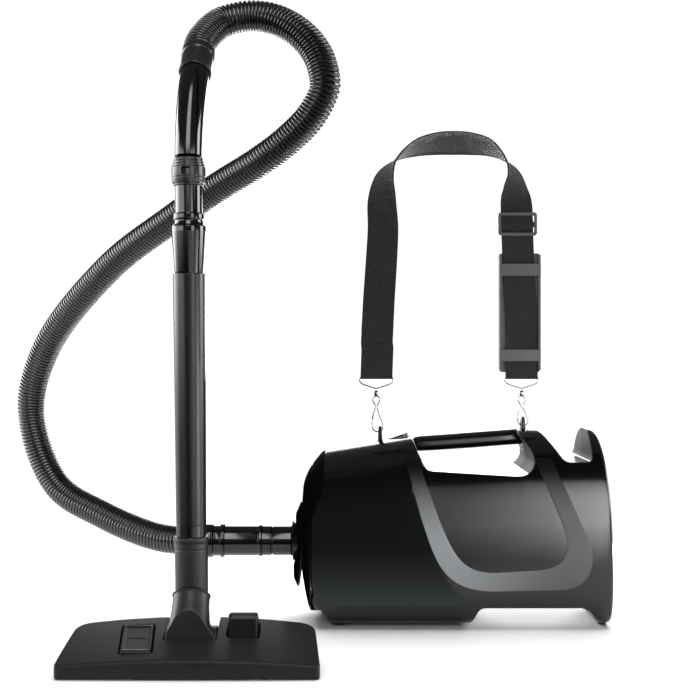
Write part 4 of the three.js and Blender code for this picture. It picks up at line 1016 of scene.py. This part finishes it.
# ------------------------------------------------------------------ floor tool
def build_neck():
    start = SWIVEL - (1.2, 0, 0)
    line = np.array([HEAD_X, -272, 34.0]) - SWIVEL
    line /= np.linalg.norm(line)

    def field(p):
        x, y, z = p
        _, h, r = measured(p, start, -NECK_AXIS)
        stem = both(1.0, r - np.interp(h, [0, 13, 26, 40], [19.4, 19.6, 20.6, 22]), HALF_GAP - h, h - 44)
        stem = smin(stem, np.hypot(r - 19.4, h - 1.2) - 1.1, 0.4)
        base = block(p, (HEAD_X - 24.6, -290, 20), (HEAD_X + 24.6, -248, 40), 7)
        f = smin(stem, base, 9)
        f = smax(f, -287.2 - y, 1.0)
        turning = np.hypot(y - PIVOT[0], z - PIVOT[1])
        f = smin(f, both(1.0, turning - 17.6, np.abs(x - HEAD_X) - NECK_HALF), 2)
        f = both(1.5, f, np.abs(x - HEAD_X) - NECK_HALF)
        under = np.max([(z - PIVOT[1]) * -math.cos(a) + (y - PIVOT[0]) * math.sin(a)
                        for a in np.radians(np.linspace(0, HEAD_TURN, 7))], axis=0) - CHEEK_CLEAR
        cheek = both(0.8, turning - 21.2, np.abs(x - HEAD_X) - 26.8, under)
        f = np.minimum(f, cheek)
        _, along_line, bore_r = measured(p, start, line)
        f = smax(f, -both(1.0, bore_r - 13.5, along_line - 44), 1.0)
        f = smax(f, -both(1.0, np.hypot(x - HEAD_X, y + 268) - 12.5, z - 40), 1.0)
        return smax(f, AXLE_HOLE_R - turning, 0.5)
    solid("neck_elbow", field, (HEAD_X - 28, -293, 1), (HEAD_X + 28, -233, 96), 0.9, "matte_grey",
          "neck_joint", "matte_grey", ["neck"])


def head_field(p, inset=0.0):
    """The floor tool's outer form: a crowned wedge, wider in front, its top falling away at both ends."""
    x, y, z = p
    u = (x - HEAD_X - 1.6) / (135.3 - 8.5 * (y - HEAD_FRONT) / 96)
    u2 = np.minimum(u * u, 1.3)
    front, back = HEAD_FRONT + 2 * u2, HEAD_BACK - 3 * u2
    t = np.clip((y - front) / (back - front), -0.2, 1.2)
    top = (20.2 - 6.0 * u2) * (1 - t) + (46.6 - 7.6 * u2) * t + 5 * t * (1 - t)
    side = (np.abs(u) - 1) * 126
    plan = smax(both(7.0, side, front - y), y - back, 16.0)
    return smax(plan, (z - top) * 0.97, 2.8) + inset


def build_head():
    def field(p):
        x, y, z = p
        f = smax(head_field(p), 0.8 - z, 1.6)
        hollow = head_field(p, 2.6)
        skewed = (askew(x, y), y, z)
        for place_of, low, high in ((p, (HEAD_X - 30.5, -294, 3), (HEAD_X + 30.5, -200, 80)),
                                    (skewed, (-304.5, -318.5, 9.4), (-262.7, -250.5, 80)),
                                    (p, (-194, -285.6, 9.4), (-155, -246, 80))):
            hollow = np.maximum(hollow, -block(place_of, low, high, 1))
        f = smax(f, -hollow, 0.8)
        for place_of, low, high in ((p, (HEAD_X - 27.2, -290.8, -10), (HEAD_X + 27.2, -200, 90)),
                                    (skewed, (-301.2, -315.6, -10), (-266.0, -253.6, 80)),
                                    (p, (-191.4, -282.6, -10), (-157.4, -249, 80))):
            f = smax(f, -block(place_of, low, high, 2.5), 1.0)
        return smax(f, np.minimum(AXLE_HOLE_R - np.hypot(y - PIVOT[0], z - PIVOT[1]),
                                  29.2 - np.abs(x - HEAD_X)), 0.5)
    solid("head_cover", field, (-366, -335, -1), (-92, -231, 50), 1.4, "head_grain", "head", "matte_grey",
          ["head_shell"])


def askew(x, y):
    """The left pedal's opening is turned a little from the head's own axes."""
    return x + (y + 285) * 0.09


def top_at(y):
    """How high the head's top stands at that Y."""
    return 21.6 + (y + 325) * (44.4 - 21.6) / 84


def build_pedals():
    def left(p):
        x, y, z = p
        u = askew(x, y) + 283.6
        f = both(2.2, np.abs(u) - 15.9, -313.6 - y, y + 255.6, z - top_at(y) - 1.2, 19 + (y + 309) * 0.22 - z)
        dish = both(1.5, np.abs(u) - 12.6, -309 - y, y + 260, top_at(y) + 0.5 - z)
        f = smax(f, -dish, 1.2)
        mark = both(0.4, np.abs(u) - 8.5, np.abs(y + 283) - 0.9, z - top_at(y) - 0.9, top_at(y) - z)
        return smin(f, mark, 0.5)

    def right(p):
        x, y, z = p
        dome = z - np.interp(y, [-280, -276, -268, -258, -249.8], [54.0, 57.6, 57.2, 52.2, 43.4])
        f = both(3.6, np.abs(x + 174.3) - 15.2, -279.6 - y, dome)
        return both(1.2, f, y + 249.8, 24 - z, 24 + (y + 258) * 1.25 - z)
    solid("pedal_plate_left", left, (-307, -316, 15), (-262, -250, 48), 0.7, "pedal_satin", "left_pedal",
          "matte_black", ["pedal_left"])
    solid("pedal_block_right", right, (-191, -282, 20), (-157, -247, 60), 0.8, "pedal_satin", "right_pedal",
          "matte_black", ["pedal_right"])


def build_brush():
    """Front bristle strip: tufts of short bristles set close together in a low holder."""
    verts, faces = [], []
    rng = np.random.default_rng(7)
    tufts, pitch, tuft_r, line_y = 74, 3, 0.55, -320
    for i in range(tufts):
        for j in range(9):
            a = 2 * math.pi * j / 8
            off = (tuft_r * math.cos(a), tuft_r * math.sin(a)) if j < 8 else (0, 0)
            x, y = HEAD_X - 109.5 + pitch * i + off[0], line_y + off[1]
            lean = rng.uniform(-0.35, 0.35, 2)
            bristle = [(x, y, 6.4), (x + lean[0] * 0.4, y + lean[1] * 0.4, 3.4),
                       (x + lean[0], y + lean[1], 0.5)]
            add_part(verts, faces, *swept(bristle, [0.24, 0.22, 0.12], 5))
    holder = [(HEAD_X + along, line_y, 5.9) for along in (-111, 0, 111)]
    add_part(verts, faces, *swept(holder, [0.6] * 3, 8))
    mesh_piece("brush_front_tufts", verts, faces, "bristle", "brushes", "matte_black", ["brush_front"],
               angle=60)


# ------------------------------------------------------------------ shoulder strap
STRAP_ROUTE = [
    (-30.6, 0, 302.2, 1, 0, 0), (-28.6, 0, 350, 1, 0, 0), (-26.3, 0, 397, 0.99, -0.14, 0),
    (-23.5, 0, 440, 0.98, -0.2, 0), (-21.3, 0, 486, 0.95, -0.31, 0), (-22.7, 0, 520, 0.86, -0.5, -0.05),
    (-19, 0, 550, 0.5, -0.84, -0.2), (-4, 0, 572, 0.05, -1, 0.02), (20.5, 0, 586, -0.15, -0.9, 0.4),
    (44, 0, 591, -0.05, -0.8, 0.6), (66, 0, 592, 0, -0.76, 0.65), (88, 0, 591, 0.05, -0.8, 0.6),
    (109.8, 0, 586.5, 0.13, -0.9, 0.4), (129.5, 0, 573, -0.05, -1, 0.02), (142.5, 0, 553, -0.45, -0.86, -0.2),
    (144.6, 0, 533, -0.83, -0.55, -0.05), (145, 0, 521, -0.97, -0.2, 0), (145.7, 0, 508.5, -1, 0, 0),
    (146.2, 0, 490, -1, 0, 0), (148, 0, 440, -1, 0, 0), (151.6, 0, 370, -1, 0, 0), (152, 0, 302.2, -1, 0, 0),
]


def hanging(x, lean, h):
    """The middle of a folded end's webbing at that height."""
    return x + lean * (h - 302) / 68


def fold(x, lean):
    """The webbing's end: down in front of the ring's bar, round it and up behind, where it is sewn."""
    r, top, up, step = 2.35, 299.4, 34.0, 1.5
    path = [(hanging(x, lean, h), -r * min(1, (340 - h) / 20), h) for h in np.arange(338, top, -step)]
    path += [(x, -r * math.cos(a), top - r * math.sin(a)) for a in np.radians(np.arange(0, 181, 20))]
    path += [(hanging(x, lean, h), r * 0.98, h) for h in np.arange(top + step, top + up, step)]
    return np.array(path)


def build_strap():
    route = np.array(STRAP_ROUTE, float)
    at, _ = even(route[:, :3], 2.2)
    centre = catmull(route[:, :3], at)
    across = catmull(route[:, 3:], at, 0)
    middle = centre[:, 2] > 339
    first, last = fold(*STRAP_ENDS[0])[::-1], fold(*STRAP_ENDS[1])
    centre = np.concatenate([first, centre[middle], last])
    across = np.concatenate([np.tile([1.0, 0, 0], (len(first), 1)), across[middle],
                             np.tile([-1.0, 0, 0], (len(last), 1))])
    tangent = np.gradient(centre, axis=0)
    tangent /= np.linalg.norm(tangent, axis=1)[:, None]
    across -= tangent * (across * tangent).sum(1)[:, None]
    across /= np.linalg.norm(across, axis=1)[:, None]
    normal = np.cross(tangent, across)
    section = [(-1, 0), (-0.985, 0.55), (-0.955, 0.62), (-0.93, 0.46), (-0.6, 0.5), (-0.2, 0.5), (0.2, 0.5),
               (0.45, 0.5), (0.6, 0.5), (0.75, 0.5), (0.93, 0.46), (0.955, 0.62), (0.985, 0.55)]
    section += [(-a, -b) for a, b in section]
    arch = np.clip((centre[:, 2] - 566) / 16, 0, 1)[:, None]
    roll = np.exp(-((centre[:, 2] - SLIDER_Z) / 4.6) ** 2) * (centre[:, 0] > 60)
    centre = centre + np.array([0, -2.0, 0]) * roll[:, None]
    rows = [centre + across * (a * STRAP_W / 2)
            + normal * (b * STRAP_T * 0.92 + arch * 5.5 * np.clip(a - 0.45, 0, 1) ** 1.5)
            for a, b in section]
    run = np.concatenate([[0], np.cumsum(np.linalg.norm(np.diff(centre, axis=0), axis=1))])
    verts = np.stack(rows, 1).reshape(-1, 3)
    count = len(section)
    uv = np.stack([np.tile([a * STRAP_W / 2 * MM for a, _ in section], len(centre)),
                   np.repeat(run, count) * MM], 1)
    strap = mesh_piece("strap_tape", verts, rings_to_faces(len(centre), count, caps=True), "webbing",
                       "canister", "webbing", ["strap_webbing"], uv=uv, angle=50)
    return run[-1]


def build_stitches():
    """The sewn box that holds each folded end, with stitches on both faces."""
    verts, faces = [], []
    pitch, start, stop = 3.2, 0.4, 2.9
    half, low, high, face_y = 16, 306.5, 328.5, 3.45
    lines = [((-half, h), (half, h)) for h in (low, high)] + [((a, low), (a, high)) for a in (-half, half)]
    for x, lean in STRAP_ENDS:
        for (a0, h0), (a1, h1) in lines:
            run = math.hypot(a1 - a0, h1 - h0)
            for k in range(int(run / pitch)):
                s, e = (k * pitch + start) / run, (k * pitch + stop) / run
                rise = ((s, 0.86), (s + (e - s) * 0.2, 0.98), ((s + e) / 2, 1.0), (e - (e - s) * 0.2, 0.98),
                        (e, 0.86))
                for y in (-face_y, face_y):
                    stitch = [(hanging(x, lean, h0 + (h1 - h0) * t) + a0 + (a1 - a0) * t, y * d,
                               h0 + (h1 - h0) * t)
                              for t, d in rise]
                    add_part(verts, faces, *swept(stitch, [0.18, 0.3, 0.34, 0.3, 0.18], 6))
    mesh_piece("strap_stitches", verts, faces, "thread", "canister", "webbing")


def build_slider():
    def field(p):
        x, y, z = p
        c = SLIDER_X
        corner = plate(x - c, z - SLIDER_Z, 19.6, 10.35, 4.4)
        f = both(1.6, corner, -5 - y, y + 2.3)
        f = smax(f, -block(p, (c - 20.6, -20, 479.2), (c + 20.6, 20, 500.3), 1.6), 1.2)
        rails = both(1.2, corner, 21.2 - np.abs(x - c), np.abs(y) - 5)
        bar = block(p, (c - 23, 2.2, 486.5), (c + 23, 5, 493), 1.2)
        return smin(smin(f, rails, 1.0), bar, 0.8)
    solid("strap_slide_buckle", field, (121, -7, 473), (172, 7, 507), 0.6, "slider", "canister", "slider",
          ["strap_slider"])


def build_pad():
    """Shoulder pad: soft ribbed back, side rails and the two bridges that hold it on the webbing."""
    c = PAD_X

    def field(p):
        x, y, z = p
        ribs = 0.35 * np.cos((z - 379) * 2 * math.pi / 9) * np.clip((22 - np.abs(x - c)) / 3, 0, 1)
        back = both(2.2, 2.4 - y, y - 8.0 + 0.35 + ribs)
        plan = plate(x - c, z - PAD_Z, 22, 70.4, 4.0)
        back = smax(back, plan, 1.0)
        rails = both(1.4, plan + 0.1, 22.7 - np.abs(x - c), -3.6 - y, y - 5, np.abs(z - PAD_Z) - 72.6)
        f = smin(back, rails, 1.2)
        for low, high in ((425, 440.5), (318.5, 333.5)):
            arch = 1.2 * (1 - ((x - c) / 26) ** 2)
            bridge = both(1.0, np.abs(x - c) - 25.4, -3.7 - arch - y, y + 1.9 + arch * 0.5, low - z, z - high)
            f = smin(f, bridge, 1.2)
        return f
    made = solid("shoulder_pad_soft", field, (123, -6, 302), (176, 10, 456), 0.9, "pad_rubber", "pad",
                 "pad_rubber", ["shoulder_pad"])


def wire(route, pitch):
    """Steel wire along the route, a little thinner at its ends: vertices and faces."""
    centre = catmull(route, even(route, pitch)[0])
    return swept(centre, [0.7] + [0.85] * (len(centre) - 2) + [0.7], 14)


def build_strap_end(tag, x, top, drop):
    """Wire ring with its joint, swivel, snap hook and sprung gate."""
    w, bar = 20.6, top - 1.8
    ring = [(x + 1, 0, bar), (x + w - 3, 0, bar), (x + w, 0, bar - 2.5), (x + w, 0, bar - 6),
            (x + w - 3, 0, bar - 9), (x + 3, 0, bar - 14), (x, 0, bar - 15.2), (x - 3, 0, bar - 14),
            (x - w + 3, 0, bar - 9), (x - w, 0, bar - 6), (x - w, 0, bar - 2.5), (x - w + 3, 0, bar),
            (x - 1, 0, bar)]
    mesh_piece(f"strap_ring_{tag}_wire", *wire(ring, 0.9), "wire_nickel", "canister", "wire_nickel",
               ["strap_ring_" + tag], angle=50)
    s = bar - 17
    h = s - 7.4
    hook = [(x - 0.6, -0.6, h - 13), (x - 1.6, -0.7, h - 10.5), (x - 4.0, -0.3, h - 6), (x - 3.4, 0, h - 1.6),
            (x, 0, h), (x + 3.6, 0, h - 1.6), (x + 4.2, 0.3, h - 6), (x + 1.8, 0.7, h - 10.5),
            (x + 1.2, 0.6, h - 14), (x + 3.4, 0.2, h - 0.5 * drop), (x + 6.6, 0, h - 0.69 * drop),
            (x + 8.3, 0, h - drop + 5.4), (x + 5.2, 0, h - drop + 0.4), (x + 1, 0, h - drop),
            (x - 3.6, 0, h - drop + 2.4), (x - 5.0, 0, h - drop + 7.4), (x - 4.9, 0, h - 0.68 * drop)]
    verts, faces = wire(hook, 0.8)
    profile = [(0.01, s - 8), (1.4, s - 8), (2.5, s - 6), (2.9, s - 4.6), (2.9, s - 2.2), (1.6, s - 0.4),
               (0.01, s + 0.2)]
    rows = rounded_profile(profile, 0.4)
    turn = 2 * np.pi * np.arange(24) / 24
    knob = np.concatenate([[(x + r * math.cos(a), r * math.sin(a), z) for a in turn] for r, z in rows])
    faces += [[k + len(verts) for k in face] for face in rings_to_faces(len(rows), 24, caps=True)]
    mesh_piece(f"snap_hook_{tag}_wire", np.concatenate([verts, knob]), faces, "wire_nickel", "canister",
               "wire_nickel", ["snap_hook_" + tag], angle=50)
    a, b = np.array([x - 0.9, 0, h - 13.2]), np.array([x - 4.9, 0, h - 0.66 * drop])
    t = np.linspace(0, 1, 24)
    sleeve = np.interp(t, [0, 0.08, 0.1, 0.3, 0.32, 0.94, 1], [0.7, 0.8, 0.8, 0.8, 0.8, 1.3, 1.2])
    verts, faces = swept(a + (b - a) * t[:, None], sleeve, 14)
    mesh_piece(f"hook_gate_{tag}_wire", verts, faces, "wire_nickel", "gate_" + tag, "wire_nickel",
               ["hook_gate_" + tag], angle=40)


# ------------------------------------------------------------------ dust bag
def build_bag():
    """Pleated paper bag, puffed by a short cloth run inside the room that its solid holds."""
    half = table([(-88, 7), (-80, 37), (-60, 56), (-25, 62), (10, 58), (34, 41), (42, 8)], 4)
    high = table([(-88, 7), (-80, 42), (-60, 62), (-25, 68), (10, 62), (34, 41), (42, 8)], 4)

    def field(p):
        x, y, z = p
        f = squared_oval(y, z - 92, half(x), high(x), 2.6)
        pleat = 1.4 * np.cos(x * 2 * math.pi / 13) * np.clip((np.abs(y) / half(x) - 0.5) * 2, 0, 1)
        return both(6.0, f + pleat, -87.5 - x, x - 41.5)
    bag = solid("dust_bag_paper", field, (-92, -72, 14), (46, 72, 170), 3.0, "paper_bag", "canister",
                "paper_bag", ["dust_bag"])
    puff(bag, 4.0)


def puff(obj, cap):
    """A short cloth run with inner pressure, its result kept, no point moved more than cap millimetres."""
    rest = np.array([v.co for v in obj.data.vertices])
    cloth = obj.modifiers.new("cloth", "CLOTH")
    cloth.settings.use_pressure = True
    cloth.settings.uniform_pressure_force = 4
    cloth.settings.effector_weights.gravity = 0
    scene = bpy.context.scene
    for step in range(1, 15):
        scene.frame_set(step)
    evaluated = obj.evaluated_get(bpy.context.evaluated_depsgraph_get()).to_mesh()
    moved = np.array([v.co for v in evaluated.vertices]) - rest
    size = np.linalg.norm(moved, axis=1)[:, None]
    obj.modifiers.remove(cloth)
    scene.frame_set(1)
    final = rest + moved * np.minimum(1, cap * MM / np.maximum(size, 1e-9))
    obj.data.vertices.foreach_set("co", final.astype(np.float32).ravel())
    obj.data.update()


def finish_inside():
    """Sub-parts that keep their CAD shape and take a material."""
    for material, names in (
            ("card", ["bag_collar"]),
            ("filter_blue", ["pre_motor_filter"]),
            ("filter_white", ["exhaust_filter"]),
            ("felt_seal", ["cover_seal"]),
            ("bristle", ["brush_frame"]),
            ("aluminium", ["fan_shroud", "fan_impeller"]),
            ("motor_steel", ["motor_frame", "bearing_front", "bearing_rear"]),
            ("copper_iron", ["stator", "rotor"]),
            ("rubber", ["motor_seal_front", "motor_seal_rear", "carbon_brush_near", "carbon_brush_far"]),
            ("rubber", ["foot_front", "foot_rear", "base_pad"]),
            ("screw_steel", ["neck_axle", "sole_plate", "housing_screw_front", "housing_screw_rear"])):
        for name in names:
            finish_cad(name, material)


# ------------------------------------------------------------------ studio
def window_of(tree, value, low, high, soft):
    """One between low and high, falling to nothing over soft beyond them."""
    rise = ramp(tree, value, low - soft, low)
    fall = ramp(tree, value, high, high + soft, 1.0, 0.0)
    return times(tree, rise, fall)


# What gloss sees: name, azimuths from the camera's side (right positive), heights, softness, radiance.
PANELS = [
    ("right box", (25, 60), (-14, 16), 3, 5.0),
    ("left box", (-78, -34), (-14, 16), 3, 4.2),
    ("top front", (-10, 14), (24, 60), 9, 6.0),
    ("right strip", (80, 113), (-14, 20), 2, 9.0),
    ("left strip", (-132, -84), (-14, 20), 2, 9.0),
    ("back", (164, 181), (1, 27), 3, 5.0),
    ("back, other half", (-181, -164), (1, 27), 3, 5.0),
]


def build_world():
    """Plain white for the camera, soft boxes and black for gloss, and a low even fill for everything else."""
    world = bpy.data.worlds.new("studio")
    bpy.context.scene.world = world
    world.use_nodes = True
    tree = world.node_tree
    x, y, z = node(tree, "SeparateXYZ", place(tree, "Generated")).outputs
    away = times(tree, y, -1.0)
    turn = times(tree, sums(tree, "ARCTAN2", x, away), 180 / math.pi)
    rise = times(tree, sums(tree, "ARCSINE", z), 180 / math.pi)
    glow = 0.02
    for _, across, up, soft, radiance in PANELS:
        box = times(tree, window_of(tree, turn, *across, soft), window_of(tree, rise, *up, soft))
        glow = sums(tree, "MULTIPLY_ADD", box, radiance, glow)
    path = node(tree, "LightPath")
    strength = sums(tree, "MULTIPLY_ADD", path.outputs["Is Glossy Ray"], glow, 0.12)
    strength = sums(tree, "MAXIMUM", strength, times(tree, path.outputs["Is Camera Ray"], 1.05))
    background = tree.nodes["Background"]
    background.inputs["Color"].default_value = (1, 1, 1, 1)
    tree.links.new(strength, background.inputs["Strength"])


def flat(name, dark, light):
    """A dull, nearly even surface."""
    made, tree, surface = shader(name, 0.9, Specular_IOR_Level=0.0)
    tone = blend_colour(tree, noise(tree, 3, 2), grey(dark), grey(light))
    feed(tree, surface, Base_Color=tone)
    return made


def glowing(name, colour, strength_in):
    """A black surface that gives off light, as strong as strength_in works out in its node tree."""
    made, tree, surface = shader(name, 0.9, Specular_IOR_Level=0.0)
    surface.inputs["Base Color"].default_value = (0, 0, 0, 1)
    surface.inputs["Emission Color"].default_value = (*colour, 1)
    feed(tree, surface, Emission_Strength=strength_in(tree))
    return made


def near_strength(tree):
    """Brightest at the foot, dim from belly height up and dimmer still at the top."""
    z = node(tree, "SeparateXYZ", place(tree)).outputs[2]
    return times(tree, ramp(tree, z, 0.0, 0.1, 0.9, 0.13), ramp(tree, z, 0.1, 0.26, 1.0, 0.3))


def right_strength(tree):
    """Fades in above the floor and out towards the top, and grows away from the middle."""
    x, _, z = node(tree, "SeparateXYZ", place(tree)).outputs
    rising = sums(tree, "MINIMUM", sums(tree, "MULTIPLY_ADD", times(tree, x, x), 62.0, 1.0), 8.5)
    low = ramp(tree, z, -0.01, 0.075)
    high = ramp(tree, z, 0.24, 0.62, 1.0, 0.0)
    return times(tree, times(tree, low, high), rising)


def upright(x0, x1, y, z0, z1):
    """Corners of an upright card that faces along Y."""
    return [(x0, y, z0), (x1, y, z0), (x1, y, z1), (x0, y, z1)]


def build_studio():
    """White floor, an overhead sun, two fill lights, and dark and bright cards that only gloss sees."""
    scene = bpy.context.scene

    def card(name, corners, material):
        mesh = bpy.data.meshes.new(name)
        mesh.from_pydata(corners, [], [tuple(range(len(corners)))])
        mesh.materials.append(material)
        made = bpy.data.objects.new(name, mesh)
        scene.collection.objects.link(made)
        return made

    def only_for_gloss(made):
        for seen_by in ("camera", "diffuse", "shadow", "transmission", "volume_scatter"):
            setattr(made, "visible_" + seen_by, False)

    card("floor", [(-60, -60, 0), (60, -60, 0), (60, 60, 0), (-60, 60, 0)], flat("floor_white", 0.80, 0.81))
    black = flat("flag_black", 0.003, 0.004)
    dim = glowing("flag_dim", (0.9, 1.0, 1.05), near_strength)
    back = glowing("glow_even", (1, 1, 1), lambda tree: ramp(tree, noise(tree, 3, 2), 0, 1, 4.9, 5.1))
    right = glowing("glow", (0.97, 1.0, 1.03), right_strength)
    arm = [(0.06, 0.045), (0.045, 0.075), (0.03, 0.125), (0.012, 0.19), (0.004, 0.24), (0.004, 0.34)]
    for name, corners, material in (
            ("flag_floor", [(-8, -14, 0.002), (0.06, -14, 0.002), (0.06, -0.36, 0.002), (-8, -0.36, 0.002)],
             black),
            ("flag_front", upright(-0.12, 0.5, -0.3, 0.32, 1.2), black),
            ("flag_side", [(-0.136, -0.2, 0.0), (-0.136, 0.4, 0.0), (-0.136, 0.4, 0.3), (-0.136, -0.2, 0.3)],
             black),
            ("flag_near", [(-0.135, -0.13, 0.0), (0.09, -0.13, 0.0), *((x, -0.13, z) for x, z in arm),
                           (-0.135, -0.13, 0.34)], dim),
            ("glow_back", upright(-0.3, 0.55, 0.6, 0.205, 0.54), back),
            ("glow_right", upright(0.02, 0.8, -0.55, 0.0, 0.65), right)):
        only_for_gloss(card(name, corners, material))

    def lamp(name, kind, power, at, target, **settings):
        data = bpy.data.lights.new(name, kind)
        data.energy = power
        for key, value in settings.items():
            setattr(data, key, value)
        made = bpy.data.objects.new(name, data)
        made.location = at
        made.rotation_euler = (Vector(target) - Vector(at)).to_track_quat("-Z", "Y").to_euler()
        made.visible_glossy = False
        made.visible_camera = False
        scene.collection.objects.link(made)

    lamp("overhead", "SUN", 4.3, (0.1, 0.7, 3), (0, 0, 0), angle=math.radians(70))
    lamp("under_glow", "AREA", 26, (0.16, 0.62, 0.1), (0.16, 0.0, 0.0), shape="RECTANGLE", size=0.5,
         size_y=0.08)
    lamp("front_fill", "AREA", 60, (-0.4, -3.6, 1.3), (-0.1, 0, 0.3), shape="RECTANGLE", size=2.6, size_y=1.8)


# ------------------------------------------------------------------ build
build_world()
build_studio()
build_inlet()
build_handle()
HOSE_LENGTH = build_hose()
build_housing()
build_band("band_near", -1, "side_band_near")
build_band("band_far", 1, "side_band_far")
build_cover()
build_latch()
build_grip()
build_switch()
build_eyelets()
build_rear()
build_neck()
build_head()
build_pedals()
build_brush()
build_strap_end("front", -29.6, 301.2, 44.4)
build_strap_end("rear", 152, 301.2, 36.6)
build_stitches()
STRAP_LENGTH = build_strap()
build_slider()
build_pad()
build_bag()
finish_inside()
print("hose", round(HOSE_LENGTH), "strap", round(STRAP_LENGTH))
